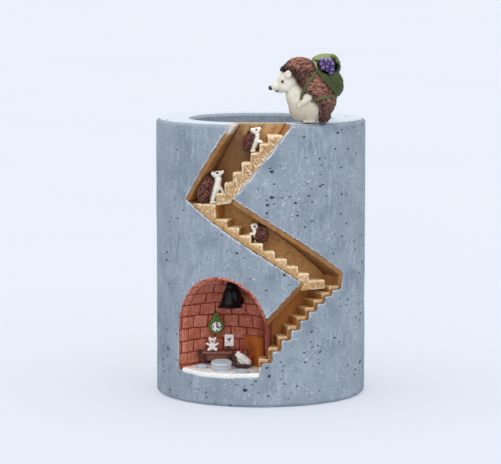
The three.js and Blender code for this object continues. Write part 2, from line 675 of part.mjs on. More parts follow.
function addClock() {
  const wall = new THREE.Group();
  const back = domeRadiusAt(CLOCK_Z + CLOCK_TOP, CLEARANCE + BRICK_THICKNESS) - 2 * CLEARANCE;
  wall.position.set(...roomPlace(CLOCK_ANGLE, back, CLOCK_Z));
  wall.rotation.z = -CLOCK_ANGLE;
  planter.add(wall);
  const pear = new THREE.Shape();
  const shoulderX = CLOCK_RADIUS * Math.cos(CLOCK_SHOULDER);
  const shoulderZ = CLOCK_RADIUS * Math.sin(CLOCK_SHOULDER);
  pear.absarc(0, 0, CLOCK_RADIUS, Math.PI - CLOCK_SHOULDER, CLOCK_SHOULDER, false);
  pear.quadraticCurveTo(CLOCK_WAIST, CLOCK_RADIUS, CLOCK_NECK, CLOCK_TOP);
  pear.lineTo(-CLOCK_NECK, CLOCK_TOP);
  pear.quadraticCurveTo(-CLOCK_WAIST, CLOCK_RADIUS, -shoulderX, shoulderZ);
  const front = -CLOCK_DEPTH;
  const caseBlock = slabFromOutline(pear, CLOCK_DEPTH, 10).translate(0, front / 2, 0);
  addPiece('clock_case', solidFrom(caseBlock), LEAF_GREEN, wall);
  const dialFront = front - CLEARANCE - DIAL_DEPTH;
  const dial = disc(DIAL_RADIUS, DIAL_DEPTH, 0, 0, 0, 20).rotateX(Math.PI / 2);
  addPiece('clock_dial', solidFrom(dial.translate(0, front - CLEARANCE, 0)), WHITE, wall);
  const hand = (length, turn) => solidFrom(
    box(HAND_WIDTH, HAND_DEPTH, length, 0, 0, -HAND_WIDTH / 2).rotateY(turn)
      .translate(0, dialFront - CLEARANCE - HAND_DEPTH / 2, 0),
  );
  addPiece('clock_hands', hand(DIAL_RADIUS * 0.8, 0).add(hand(DIAL_RADIUS * 0.6, 2)), BLACK, wall);
}

// Furniture stands square on the sloping floor, so it shares a tilted group.

const floorGroup = new THREE.Group();
floorGroup.position.set(...roomAxis, FLOOR_AXIS_Z);
floorGroup.rotation.x = FLOOR_TILT;

const scrollLeft = BENCH_LEFT - CLEARANCE - 2 * BENCH_SCROLL_RADIUS;
const scrollBack = Math.sqrt(roomInner ** 2 - scrollLeft ** 2) - CLEARANCE;
const benchMiddleY = scrollBack + BENCH_SCROLL_SETBACK - BENCH_DEPTH / 2;
const benchFront = benchMiddleY - BENCH_DEPTH / 2;
const chairY = benchFront - CHAIR_BENCH_GAP - CHAIR_WIDTH / 2;
const chairRight = Math.sqrt((doorInner - CLEARANCE) ** 2 - (chairY + CHAIR_WIDTH / 2) ** 2);
const chairX = chairRight - CHAIR_LENGTH / 2;
const drumX = chairX - CHAIR_LENGTH / 2 - DRUM_CHAIR_GAP - DRUM_RADIUS;

function addBench() {
  const middle = BENCH_LEFT + BENCH_LENGTH / 2;
  const depthMiddle = benchMiddleY;
  const under = BENCH_HEIGHT - BENCH_TOP - CLEARANCE;
  const top = box(BENCH_LENGTH, BENCH_DEPTH, BENCH_TOP, middle, depthMiddle, BENCH_HEIGHT - BENCH_TOP);
  addPiece('bench_top', solidFrom(top), WOOD, floorGroup);
  const legX = BENCH_LENGTH / 2 - BENCH_LEG / 2;
  for (const [name, side] of [['bench_left_leg', -1], ['bench_right_leg', 1]]) {
    const leg = box(BENCH_LEG, BENCH_DEPTH, under - CLEARANCE, middle + side * legX, depthMiddle, CLEARANCE);
    addPiece(name, solidFrom(leg), DARK_WOOD, floorGroup);
  }
  const apronLength = BENCH_LENGTH - 2 * (BENCH_LEG + CLEARANCE);
  const apron = box(apronLength, BENCH_DEPTH / 2, BENCH_APRON, middle, depthMiddle, under - BENCH_APRON);
  addPiece('bench_apron', solidFrom(apron), WOOD, floorGroup);
  const scroll = disc(BENCH_SCROLL_RADIUS, BENCH_SCROLL_LENGTH, 0, 0, 0, 14).rotateX(Math.PI / 2);
  scroll.translate(scrollLeft + BENCH_SCROLL_RADIUS, scrollBack, BENCH_HEIGHT - BENCH_TOP / 2);
  addPiece('bench_scroll', solidFrom(scroll), DARK_WOOD, floorGroup);
}

function addBear() {
  const [x, y] = [BENCH_LEFT + BEAR_OFFSET, benchMiddleY];
  const z = BENCH_HEIGHT + CLEARANCE;
  const size = BEAR_HEIGHT;
  const part = (dx, dy, dz, radii, tilt = 0) => ({
    at: [x + dx * size, y + dy * size, z + dz * size], radii: radii.map((r) => r * size), tilt,
  });
  const pair = (dx, dy, dz, radii, tilt) => [-1, 1].map(
    (side) => part(side * dx, dy, dz, radii, side * tilt),
  );
  const shapes = [
    part(0, 0, 0.3, [0.24, 0.2, 0.29]),
    part(0, -0.04, 0.72, [0.25, 0.2, 0.22]),
    part(0, -0.2, 0.67, [0.1, 0.12, 0.08]),
    ...pair(0.18, -0.02, 0.88, [0.11, 0.07, 0.11], 0),
    ...pair(0.28, -0.04, 0.42, [0.22, 0.1, 0.1], -25),
    ...pair(0.22, -0.18, 0.12, [0.15, 0.22, 0.11], 20),
  ];
  addPiece('toy_bear', blobs(shapes, 0, 8), WHITE, floorGroup);
}

function addPicture() {
  const [x, y] = [BENCH_LEFT + PICTURE_OFFSET, benchMiddleY];
  const standZ = BENCH_HEIGHT + CLEARANCE;
  const [foot, top] = [PICTURE_STAND_WIDTH / 2, PICTURE_STAND_TOP / 2];
  const stand = slabFromOutline([
    [-foot, 0], [foot, 0], [top, PICTURE_STAND_HEIGHT], [-top, PICTURE_STAND_HEIGHT],
  ], PICTURE_STAND_DEPTH);
  stand.translate(x + PICTURE_STAND_SHIFT, y, standZ);
  addPiece('picture_stand', solidFrom(stand), DARK_WOOD, floorGroup);
  const frameZ = standZ + PICTURE_STAND_HEIGHT + CLEARANCE;
  const board = solidFrom(box(PICTURE_WIDTH, PICTURE_DEPTH, PICTURE_HEIGHT, x, y, frameZ));
  const sunk = solidFrom(box(
    PICTURE_WIDTH - 2 * PICTURE_BORDER, PICTURE_DEPTH, PICTURE_HEIGHT - 2 * PICTURE_BORDER,
    x, y - PICTURE_DEPTH / 2, frameZ + PICTURE_BORDER,
  ));
  addPiece('picture_frame', board.subtract(sunk), PALE_GREY, floorGroup);
}

function addFloorThings() {
  const drum = lathe([
    [0, 0],
    [DRUM_RADIUS, 0],
    [DRUM_RADIUS, DRUM_HEIGHT - DRUM_EDGE],
    [DRUM_RADIUS - DRUM_EDGE, DRUM_HEIGHT],
    [0, DRUM_HEIGHT],
  ], 36);
  drum.translate(drumX, benchFront - DRUM_BENCH_GAP - DRUM_RADIUS, CLEARANCE);
  addPiece('drum_table', solidFrom(drum), PALE_GREY, floorGroup);
  const stoolX = drumX - DRUM_RADIUS - STOOL_DRUM_GAP - LEFT_STOOL_RADIUS;
  const stoolY = benchFront - CLEARANCE - LEFT_STOOL_RADIUS;
  const stool = disc(LEFT_STOOL_RADIUS, LEFT_STOOL_HEIGHT, stoolX, stoolY, CLEARANCE, 20);
  addPiece('low_stool', solidFrom(stool), PALE_GREY, floorGroup);
  const matY = chairY - CHAIR_WIDTH / 2 - MAT_CHAIR_GAP - MAT_RADIUS;
  const mat = disc(MAT_RADIUS, MAT_HEIGHT, chairX + MAT_SHIFT, matY, CLEARANCE, 24);
  addPiece('round_mat', solidFrom(mat), WHITE, floorGroup);
}

function addChair() {
  const [x, y, half] = [chairX, chairY, CHAIR_LENGTH / 2];
  const side = new THREE.Shape();
  side.moveTo(-half, CHAIR_BACK_HEIGHT);
  side.quadraticCurveTo(-half + 1.4, 2, -half + 2.2, CHAIR_BAR + 0.5);
  side.quadraticCurveTo(0, 0.2, half, CHAIR_BAR);
  side.lineTo(half, 0.1);
  side.quadraticCurveTo(0, -0.4, -half + 1.2, 0.3);
  side.quadraticCurveTo(-half, 2, -half - CHAIR_BAR * 0.6, CHAIR_BACK_HEIGHT);
  const frame = solidFrom(slabFromOutline(side, CHAIR_WIDTH, 6).translate(x, y, 2 * CLEARANCE));
  addPiece('rocking_chair', frame, DARK_WOOD, floorGroup);
  const wideFrame = slabFromOutline(side, 2 * CHAIR_WIDTH, 6);
  const seat = solidFrom(wideFrame.translate(x + CLEARANCE, y, 3 * CLEARANCE));
  const underSeat = solidFrom(box(CHAIR_LENGTH * 2, CHAIR_WIDTH * 3, 2, x, y, -0.8));
  const blanket = (grow) => blobs([
    { at: [x - 0.6, y, 4.4], radii: [3.4, CHAIR_WIDTH * 0.42, BLANKET_THICKNESS], tilt: 48 },
    { at: [x + 1.2, y, 2.9], radii: [2.4, CHAIR_WIDTH * 0.46, BLANKET_THICKNESS * 0.7], tilt: 20 },
  ], grow, 10);
  addPiece('chair_blanket', blanket(0).subtract(seat).subtract(underSeat), WHITE, floorGroup);
  const cushion = { at: [x - 0.9, y, CHAIR_BACK_HEIGHT + 0.8], radii: [1, 1.4, 1.1], tilt: 30 };
  const reader = { at: [x + 1.1, y, CHAIR_BACK_HEIGHT + 0.4], radii: [1.4, 1.3, 1.2] };
  const slippers = { at: [x + 3.2, y - 0.3, 5], radii: [1.2, 1.2, 0.9], tilt: -20 };
  addPiece('red_cushion', blob(cushion, 0, 10).subtract(blanket(CLEARANCE)), RED, floorGroup);
  const readerSeat = blanket(CLEARANCE).add(blob(cushion, CLEARANCE, 10));
  addPiece('chair_reader', blob(reader, 0, 10).subtract(readerSeat), SPINE_BROWN, floorGroup);
  const slipperSeat = blanket(CLEARANCE).add(blob(reader, CLEARANCE, 10));
  addPiece('red_slippers', blob(slippers, 0, 10).subtract(slipperSeat), RED, floorGroup);
}

// Rim hedgehog, facing -X, in its own frame with the rim at z = 0

const RIM_BODY = [
  { at: [-2, 0, 6.3], radii: [6.2, 5.6, 6.3] },
  { at: [-5, 0, 11], radii: [4.4, 4.6, 5] },
  { at: [-8.3, 0, 16.2], radii: [4.6, 4.4, 4.3] },
  { at: [-11.5, 0, 14.9], radii: [4, 2.3, 2.1], tilt: -17 },
  { at: [-8.3, -4.2, 19.3], radii: [1.5, 1.6, 1.6] },
  { at: [-8.3, 4.2, 19.3], radii: [1.5, 1.6, 1.6] },
  { at: [-0.6, -5, 9.2], radii: [3.4, 1.5, 1.9], tilt: -30 },
  { at: [-0.6, 5, 9.2], radii: [3.4, 1.5, 1.9], tilt: -30 },
  { at: [-0.4, -3.2, 1], radii: [2.6, 1.5, 1] },
  { at: [-0.4, 3.2, 1], radii: [2.6, 1.5, 1] },
];
const RIM_NOSE = [-15.2, 0, 13.7];
const RIM_EYE = [-10.6, 16.6];
const RIM_COAT = [
  { at: [-3.6, 0, 20.4], radii: [7.4, 6.4, 6] },
  { at: [2.6, 0, 12.8], radii: [8.7, 7.6, 12], tilt: -15 },
  { at: [5.2, 0, 4], radii: [3.6, 4.8, 3.9] },
];
const RIM_COAT_EDGE = [
  [-9.5, 20.3], [-7.2, 19], [-5.1, 15.7], [-1.9, 12.5], [2.6, 9], [4, 4.9], [4.2, -3],
];
const RIM_BAG = [
  { at: [9.2, 0, 16.8], radii: [4.2, 5.4, 6.4], tilt: -30 },
  { at: [6.6, 0, 22], radii: [6.2, 5.8, 4.2] },
];
// The bag's outline from the side, down its back and up along the edge of its leaf
const BAG_OUTLINE = [
  [1.2, 24.6], [4.7, 27.2], [8.5, 27.6], [11.3, 25.5], [12.9, 22.2], [13.2, 19.2], [13.8, 15.1],
  [13.5, 12.3], [11.8, 10.5], [10, 11.8], [7.2, 15.3], [3.9, 19.2], [2.7, 22],
];
const BAG_POCKET = { at: [7.8, -5, 23.2], radii: [4.6, 4, 3.6] };
const STRAPS = [
  ['upper', [[4, 21.6], [2.6, 20.1], [0.8, 17.6], [-1.3, 14.8], [-2.6, 12.6], [-3, 10.8]]],
  ['lower', [[9.4, 11.2], [6.4, 10.7], [3.3, 9.9], [1.8, 9.6]]],
];

// How far an ellipsoid's side stands out along y at a place in x and z.
function sideReach({ at, radii, tilt = 0 }, x, z) {
  const lean = THREE.MathUtils.degToRad(tilt);
  const [dx, dz] = [x - at[0], z - at[2]];
  const across = (dx * Math.cos(lean) - dz * Math.sin(lean)) / radii[0];
  const up = (dx * Math.sin(lean) + dz * Math.cos(lean)) / radii[2];
  return Math.abs(at[1]) + radii[1] * Math.sqrt(Math.max(0, 1 - across * across - up * up));
}

function addRimHedgehog() {
  const group = new THREE.Group();
  const standing = POT_RADIUS - RIM_HEDGEHOG_INSET;
  const [x, y] = [standing * Math.sin(RIM_HEDGEHOG_ANGLE), -standing * Math.cos(RIM_HEDGEHOG_ANGLE)];
  group.position.set(x, y, POT_HEIGHT + CLEARANCE);
  planter.add(group);
  const noseAt = { at: RIM_NOSE, radii: [NOSE_RADIUS, NOSE_RADIUS, NOSE_RADIUS] };
  const [eyeX, eyeZ] = RIM_EYE;
  const eyeDepth = sideReach(RIM_BODY[2], eyeX, eyeZ);
  const eyes = [-1, 1].map((side) => ({
    at: [eyeX, side * eyeDepth, eyeZ], radii: [EYE_RADIUS, EYE_RADIUS, EYE_RADIUS],
  }));
  const body = (grow) => blobs(RIM_BODY, grow, 12);
  const face = body(0).subtract(blobs([noseAt, ...eyes], CLEARANCE, 8));
  addPiece('rim_hedgehog_body', face, CREAM, group);
  addPiece('rim_hedgehog_nose', blob(noseAt, 0, 8), BLACK, group);
  addPiece('rim_hedgehog_left_eye', blob(eyes[0], 0, 8), BLACK, group);
  addPiece('rim_hedgehog_right_eye', blob(eyes[1], 0, 8), BLACK, group);

  const edge = new THREE.SplineCurve(RIM_COAT_EDGE.map((p) => new THREE.Vector2(...p))).getPoints(9);
  const [top, bottom] = [edge[0].y, edge[edge.length - 1].y];
  const front = [...edge.map((p) => [p.x, p.y]), [-POT_RADIUS, bottom], [-POT_RADIUS, top]].reverse();
  const faceOpening = solidFrom(slabFromOutline(front, POT_RADIUS));
  const coat = (grow) => blobs(RIM_COAT, grow, 16).subtract(faceOpening);
  addPiece('rim_hedgehog_coat', coat(0).subtract(body(CLEARANCE)), SPINE_BROWN, group);

  const grapes = [];
  for (const [row, count, start] of [[0, 3, 5.4], [1, 3, 6], [2, 2, 8], [3, 1, 9.3]]) {
    for (let i = 0; i < count; i++) {
      const at = [start + i * GRAPE_PITCH, -GRAPE_DEPTH, GRAPE_TOP - row * GRAPE_ROW];
      grapes.push({ at, radii: [GRAPE_RADIUS, GRAPE_RADIUS, GRAPE_RADIUS] });
    }
  }
  const bagMiddle = new THREE.Vector2(...between(...RIM_BAG.map(({ at }) => [at[0], at[2]]), 0.5));
  const bagForm = (grow) => {
    const corners = [...BAG_OUTLINE, BAG_OUTLINE[0]].map((p) => new THREE.Vector2(...p));
    const side = new THREE.SplineCurve(corners).getPoints(36).slice(0, -1).map((p) => {
      const out = p.clone().sub(bagMiddle).setLength(grow);
      return [p.x + out.x, p.y + out.y];
    });
    return blobs(RIM_BAG, grow, 16)
      .add(blob(RIM_COAT[1], CLEARANCE + LEAF_THICKNESS + grow, 16))
      .intersect(solidFrom(slabFromOutline(side, POT_RADIUS)));
  };
  const bag = bagForm(0)
    .subtract(blobs(RIM_COAT, CLEARANCE, 16))
    .subtract(blob(BAG_POCKET, 0, 10))
    .subtract(blobs(grapes, CLEARANCE, 6));
  addPiece('leaf_bag', bag, LEAF_GREEN, group);
  addPiece('grape_cluster', blobs(grapes, 0, 6), GRAPE_PURPLE, group);
  const overGrapes = box(POT_RADIUS, POT_RADIUS, POT_RADIUS, LEAF_END_X - POT_RADIUS / 2, 0, LEAF_EDGE_Z);
  const leaf = blob(RIM_BAG[1], CLEARANCE + LEAF_THICKNESS, 16)
    .subtract(bagForm(CLEARANCE))
    .subtract(blobs(RIM_COAT, CLEARANCE, 16))
    .intersect(solidFrom(overGrapes))
    .subtract(blobs(grapes, CLEARANCE, 6));
  addPiece('leaf_flap', leaf, LEAF_GREEN, group);

  for (const [part, route] of STRAPS) {
    for (const [sideName, side] of [['left', -1], ['right', 1]]) {
      const points = route.map(([x, z]) => {
        const reach = Math.max(...[...RIM_BODY, ...RIM_COAT].map((shape) => sideReach(shape, x, z)));
        return [x, side * (reach + STRAP_RADIUS + CLEARANCE), z];
      });
      const strap = solidFrom(tube(points, STRAP_RADIUS, 6))
        .subtract(body(CLEARANCE)).subtract(coat(CLEARANCE)).subtract(bagForm(CLEARANCE));
      addPiece(`${sideName}_${part}_strap`, strap, LEAF_GREEN, group);
    }
  }
}

// Stair hedgehogs: shapes from the foot, facing +X before any turn

const STAIR_HEDGEHOGS = [
  {
    name: 'landing_hedgehog',
    along: UPPER_START - LANDING_HEDGEHOG_SETBACK,
    level: leftLandingZ,
    facing: 1,
    body: [
      { at: [0.2, 0, 5.6], radii: [1.8, 2, 5.4], tilt: 19 },
      { at: [0.9, 0, 11.7], radii: [2.3, 1.7, 1.5], tilt: -15 },
      { at: [2.7, 0, 12.6], radii: [1.3, 0.8, 0.7], tilt: -20 },
      { at: [2.2, -1.2, 5.4], radii: [1.9, 0.8, 0.8], tilt: 48 },
      { at: [-0.7, -1, 0.6], radii: [1.6, 0.9, 0.6] },
    ],
    coat: { at: [-3.1, 0, 6.2], radii: [3.3, 3.4, 6.3], tilt: 15 },
    nose: [3.9, 0, 13.1],
  },
  {
    name: 'upper_hedgehog',
    along: UPPER_START + UPPER_HEDGEHOG_TREAD * UPPER_RUN,
    level: upperTreads[UPPER_HEDGEHOG_TREAD],
    facing: 1,
    body: [
      { at: [1.2, 0, 4.2], radii: [1.6, 1.7, 4.2], tilt: 17 },
      { at: [1.4, 0, 8.3], radii: [2, 1.5, 1.4], tilt: -27 },
      { at: [2.8, 0, 9.2], radii: [1.1, 0.7, 0.7], tilt: -32 },
      { at: [2.8, -1, 4.2], radii: [1.6, 0.7, 0.7], tilt: 10 },
      { at: [0.3, -0.8, 0.6], radii: [1.1, 0.8, 0.6] },
    ],
    coat: { at: [-0.9, 0, 4.5], radii: [2.8, 3.3, 4.2], tilt: 22 },
    nose: [3.8, 0, 10],
  },
  {
    name: 'middle_hedgehog',
    along: MIDDLE_START + MIDDLE_HEDGEHOG_TREAD * MIDDLE_RUN + MIDDLE_HEDGEHOG_SETBACK,
    level: middleTreads[MIDDLE_HEDGEHOG_TREAD],
    facing: -1,
    body: [
      { at: [0.6, 0, 3.3], radii: [1.4, 1.7, 3.1], tilt: 12 },
      { at: [1.1, 0, 6.1], radii: [1.6, 1.4, 1.3], tilt: -28 },
      { at: [2.1, 0, 6.7], radii: [1, 0.7, 0.6], tilt: -32 },
      { at: [2.1, -1, 3.4], radii: [1.2, 0.6, 0.6] },
      { at: [0.4, -0.8, 0.6], radii: [1, 0.8, 0.6] },
    ],
    coat: { at: [-1.5, 0, 3.8], radii: [3.1, 3.4, 4], tilt: 12 },
    nose: [2.9, 0, 7.2],
  },
];

function addStairHedgehogs() {
  const air = well({ wall: INNER_INSET, floor: CLEARANCE }, OUTSIDE, STEP_BACK)
    .subtract(upperFlight(CLEARANCE)).subtract(middleFlight(CLEARANCE)).subtract(leftLanding(CLEARANCE));
  for (const { name, along, level, facing, body, coat, nose } of STAIR_HEDGEHOGS) {
    const [x, y, z] = onWall([along, level + CLEARANCE], (STEP_FRONT + STEP_BACK) / 2);
    const settle = ({ at, radii, tilt = 0 }) => ({
      at: [x + facing * at[0], y + at[1], z + at[2]], radii, tilt: facing * tilt,
    });
    const tip = settle({ at: nose, radii: [SMALL_NOSE_RADIUS, SMALL_NOSE_RADIUS, SMALL_NOSE_RADIUS] });
    const trunk = (grow) => blobs(body.map(settle), grow, 8);
    addPiece(`${name}_body`, trunk(0).subtract(blob(tip, CLEARANCE, 6)).intersect(air), CREAM);
    const back = blob(settle(coat), 0, 12).subtract(trunk(CLEARANCE));
    addPiece(`${name}_coat`, back.intersect(air), SPINE_BROWN);
    addPiece(`${name}_nose`, blob(tip, 0, 6), BLACK);
  }
}

addPot();
addDrainPlug();
addStairs();
addRoomShell();
addDoor();
addLamp();
addClock();
planter.add(floorGroup);
addBench();
addBear();
addPicture();
addFloorThings();
addChair();
addRimHedgehog();
addStairHedgehogs();

export default planter;
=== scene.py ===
"""Looks of the hedgehog planter: cement pot, painted stairwell, brick room and hedgehog figures."""

import functools
import itertools
import math

import bmesh
import bpy
import numpy as np
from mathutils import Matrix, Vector


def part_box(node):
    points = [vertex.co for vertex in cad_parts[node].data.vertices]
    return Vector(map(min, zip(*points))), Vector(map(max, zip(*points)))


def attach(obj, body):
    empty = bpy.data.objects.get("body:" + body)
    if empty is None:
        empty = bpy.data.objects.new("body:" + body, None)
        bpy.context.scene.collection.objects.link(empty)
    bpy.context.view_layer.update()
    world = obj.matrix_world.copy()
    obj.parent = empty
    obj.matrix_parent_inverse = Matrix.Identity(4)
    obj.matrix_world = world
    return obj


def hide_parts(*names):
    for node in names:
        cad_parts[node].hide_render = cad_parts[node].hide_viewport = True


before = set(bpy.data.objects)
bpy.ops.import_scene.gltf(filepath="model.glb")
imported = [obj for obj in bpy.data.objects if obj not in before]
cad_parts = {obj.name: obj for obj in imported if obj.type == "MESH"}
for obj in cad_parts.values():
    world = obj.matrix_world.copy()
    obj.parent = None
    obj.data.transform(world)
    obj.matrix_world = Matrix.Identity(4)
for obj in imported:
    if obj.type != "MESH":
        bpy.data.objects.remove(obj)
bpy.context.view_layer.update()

# Lengths in this script are millimetres; the scene is in metres.
MM = 0.001
random = np.random.default_rng(7)
# Factors that scatter whole numbers into shares that look random
SCATTER = (12.9898, 78.233, 37.719)
SCATTER_SPREAD = 43758.5453


def corners_of(node):
    """A node's lowest and highest corner in millimetres."""
    return [np.array(corner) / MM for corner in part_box(node)]


def centre_of(node):
    return sum(corners_of(node)) / 2


# Pot
POT_RADIUS, _, POT_HEIGHT = corners_of("pot_body")[1]
CAVITY_RADIUS = 28.5
CAVITY_TAPER = 2.5
CAVITY_FLOOR_Z = 9
CAVITY_CORNER = 3
# Gap round the pieces that are set in the wall, which they swell to close
WALL_JOINT = 0.28
# Where the stairwell opens the rim, from left to right
RIM_GAP = (-11, 11.4)
# Lowest point of the stairwell and room cut, and heights over which its worn edge grows pale
CUT_FOOT_Z = 14
CUT_PALE = (45, 85)
# Corners of the stairwell where its walls meet, each a line of angles round the pot in degrees and heights
WALL_CORNERS = [[(20.6, 47.6), (21.6, 49.2), (22.6, 50.2)], [(-14.7, 82.6), (-12.5, 81.7), (-10.3, 80.5)]]
# Heights over which one flight's walls turn into the next one's
LOWER_TOP = (45, 48)
MIDDLE_TOP = (80, 84)
# How flecked each flight's paint is, how much painted shade its sunk fronts get, and how much darker brown
# paint it gets
STEP_LOOKS = {
    "upper_flight": (0.9, 0.2, 0), "left_landing": (0.75, 0.1, 0), "middle_flight": (0.6, 0.1, 0),
    "right_landing": (0.4, 0.3, 0.4), "lower_flight": (0.15, 1.0, 0.75),
}
BOARDED = ("left_landing", "middle_flight")
STEP_FOOT_Z = 16.2

# Brick room
ROOM_ANGLE = math.radians(-23.6)
ROOM_AXIS = (POT_RADIUS - 4.8) * np.array([math.sin(ROOM_ANGLE), -math.cos(ROOM_ANGLE)])
ROOM_SPRING_Z = 30
ROOM_TOP_Z = 51
ROOM_INNER = 17.7
ROOM_OUTER = 19.3
COURSE = 4.85
BRICK_LENGTH = 6.7
JOINT = 0.36
JOINT_DEPTH = 0.4
FLOOR_ORIGIN = np.array([*ROOM_AXIS, 12.3])
FLOOR_TILT = math.radians(6.8)
# Cement in front of the floor, as places across the pot and heights over the floor's underside
FLOOR_LIP = [(-33, 0.7), (-24, 0.7), (-12, 1.5), (-0.7, 2.4), (-0.3, 6.0), (0.9, 7.8)]
LIP_DEPTH = 1.6
LIP_FOOT_Z = 7
FLOOR_EDGE_RISE = 2.4
DOOR_PLANKS = 4
LAMP_LIFT = 0.6
DIAL_REACH = 1.55
SCROLL_PITCH = 0.42
DRUM_FLUTES = 34
MAT_RINGS = 4
MAT_SCALLOPS = 20

# Camera, from the pot's outline in the photograph
CAMERA_PLACE = (-4.23, -1049.0, 187.4)
CAMERA_PITCH = 0.1153
CAMERA_LENS = 183.49
SENSOR_WIDTH = 36.0


# Meshes

def link(obj):
    bpy.context.scene.collection.objects.link(obj)
    return obj


def mesh_object(name, points, faces):
    mesh = bpy.data.meshes.new(name)
    mesh.from_pydata((np.asarray(points, float) * MM).tolist(), [], [list(map(int, face)) for face in faces])
    mesh.update()
    mesh.shade_smooth()
    return link(bpy.data.objects.new(name, mesh))


def copy_of(node, name):
    """A new object with the node's shape, its vertices merged."""
    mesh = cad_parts[node].data.copy()
    mesh.materials.clear()
    work = bmesh.new()
    work.from_mesh(mesh)
    bmesh.ops.remove_doubles(work, verts=work.verts, dist=1e-6)
    work.to_mesh(mesh)
    work.free()
    return link(bpy.data.objects.new(name, mesh))


def rows_of(items, field, width, kind=np.float32):
    flat = np.empty(len(items) * width, kind)
    items.foreach_get(field, flat)
    return flat.reshape(-1, width)


def points_of(obj):
    return rows_of(obj.data.vertices, "co", 3).astype(float) / MM


def normals_of(obj):
    return rows_of(obj.data.vertex_normals, "vector", 3).astype(float)


def move_points(obj, points):
    obj.data.vertices.foreach_set("co", (points * MM).astype(np.float32).ravel())
    obj.data.update()


def swell(obj, heights):
    move_points(obj, points_of(obj) + normals_of(obj) * np.reshape(heights, (-1, 1)))


def keep_between(obj, low, high=math.inf):
    """Moves points that lie under low or over high to these heights."""
    points = points_of(obj)
    points[:, 2] = np.clip(points[:, 2], low, high)
    move_points(obj, points)
    return points


def relaxed(obj, rounds):
    """An object's points, each averaged with its neighbours round after round."""
    points = points_of(obj)
    count = len(points)
    edges = rows_of(obj.data.edges, "vertices", 2, np.int32)
    ends = np.concatenate([edges[:, 0], edges[:, 1]])
    others = np.concatenate([edges[:, 1], edges[:, 0]])
    degree = np.maximum(np.bincount(ends, minlength=count), 1)[:, None]
    for _ in range(rounds):
        sums = [np.bincount(ends, column[others], count) for column in points.T]
        points = (points + np.stack(sums, 1) / degree) / 2
    return points


def remesh(obj, voxel, rounds):
    """Joins what overlaps into one even skin of voxel-sized faces, then rounds it off."""
    modifier = obj.modifiers.new("skin", "REMESH")
    modifier.mode = "VOXEL"
    modifier.voxel_size = voxel * MM
    graph = bpy.context.evaluated_depsgraph_get()
    skin = bpy.data.meshes.new_from_object(obj.evaluated_get(graph))
    obj.modifiers.clear()
    rough = obj.data
    obj.data = skin
    skin.name = obj.name
    bpy.data.meshes.remove(rough)
    skin.shade_smooth()
    move_points(obj, relaxed(obj, rounds))
    return obj


def sculpted(name, forms, voxel, rounds):
    """Forms pressed together into one skin, with their joins rounded."""
    return remesh(mesh_object(name, *joined(forms)), voxel, rounds)


def skin_of(node, name, voxel, rounds, forms=None):
    """A node's shape as one even skin, with any more forms pressed into it."""
    if forms is None:
        return remesh(copy_of(node, name), voxel, rounds)
    base = copy_of(node, f"{name}_base")
    shape = points_of(base), [list(face.vertices) for face in base.data.polygons]
    bpy.data.meshes.remove(base.data)
    return sculpted(name, [shape, *forms], voxel, rounds)


def noise(points, size, seed=0):
    """Smooth random values from -1 to 1 that change over about size millimetres."""
    scaled = points / size + seed * 17.3
    cell = np.floor(scaled)
    share = scaled - cell
    share = share * share * (3 - 2 * share)
    total = np.zeros(len(points))
    for corner in itertools.product((0, 1), repeat=3):
        spread = np.sin((cell + corner) @ SCATTER) * SCATTER_SPREAD
        weight = np.prod(np.where(corner, share, 1 - share), axis=1)
        total += (spread % 1 * 2 - 1) * weight
    return total


def ramp(values, low, high):
    """0 below low and 1 above high, smooth between."""
    share = np.clip((values - low) / (high - low), 0, 1)
    return share * share * (3 - 2 * share)


def mark(obj, **marks):
    """Keeps numbers on each vertex, which a material can read by name."""
    ones = np.ones(len(obj.data.vertices), np.float32)
    for name, values in marks.items():
        attribute = obj.data.attributes.new(name, "FLOAT", "POINT")
        attribute.data.foreach_set("value", ones * np.asarray(values, np.float32))


def mark_wear_and_shade(obj, rounds, reach):
    """Marks worn ridges as edge and sheltered corners as crease, both from 0 to 1, the creases for dark wash
    and painted shade.
    """
    hollow = ((relaxed(obj, rounds) - points_of(obj)) * normals_of(obj)).sum(1) / reach
    mark(obj, edge=np.clip(-hollow, 0, 1), crease=np.clip(hollow, 0, 1))


def finish_piece(obj, material, slot, *nodes, wear_and_shade=None, body="pot"):
    """Paints a piece and sets it on its body in its nodes' place, first marking its worn edges and its
    creases for painted shade when asked.
    """
    if wear_and_shade:
        mark_wear_and_shade(obj, *wear_and_shade)
    obj.data.materials.clear()
    obj.data.materials.append(material)
    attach(obj, body)
    if nodes:
        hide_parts(*nodes)
    return obj


def dressed(node, name, material, slot, voxel, rounds, uneven=0.0):
    """A node's shape with softened edges and a hand-finished surface, in the node's place."""
    obj = skin_of(node, name, voxel, rounds)
    if uneven:
        swell(obj, uneven * noise(points_of(obj), 1.6, seed=len(name)))
    return finish_piece(obj, material, slot, node, wear_and_shade=(6, 0.6 * voxel))


# Simple forms, each given as (points, faces)

def ball(at, radii, tilt=0, turn=0, detail=3):
    """An ellipsoid that leans by tilt degrees about Y and turns by turn degrees about Z."""
    work = bmesh.new()
    bmesh.ops.create_icosphere(work, subdivisions=detail, radius=1)
    points = np.array([vertex.co for vertex in work.verts]) * radii
    faces = [[vertex.index for vertex in face.verts] for face in work.faces]
    work.free()
    lean, spin = math.radians(tilt), math.radians(turn)
    x, y, z = points.T
    x, z = x * math.cos(lean) + z * math.sin(lean), z * math.cos(lean) - x * math.sin(lean)
    x, y = x * math.cos(spin) - y * math.sin(spin), y * math.cos(spin) + x * math.sin(spin)
    return np.stack([x, y, z], 1) + at, faces


def joined(forms):
    points, faces, start = [], [], 0
    for form_points, form_faces in forms:
        points.append(np.asarray(form_points, float))
        faces += [[start + corner for corner in face] for face in form_faces]
        start += len(form_points)
    return np.vstack(points), faces


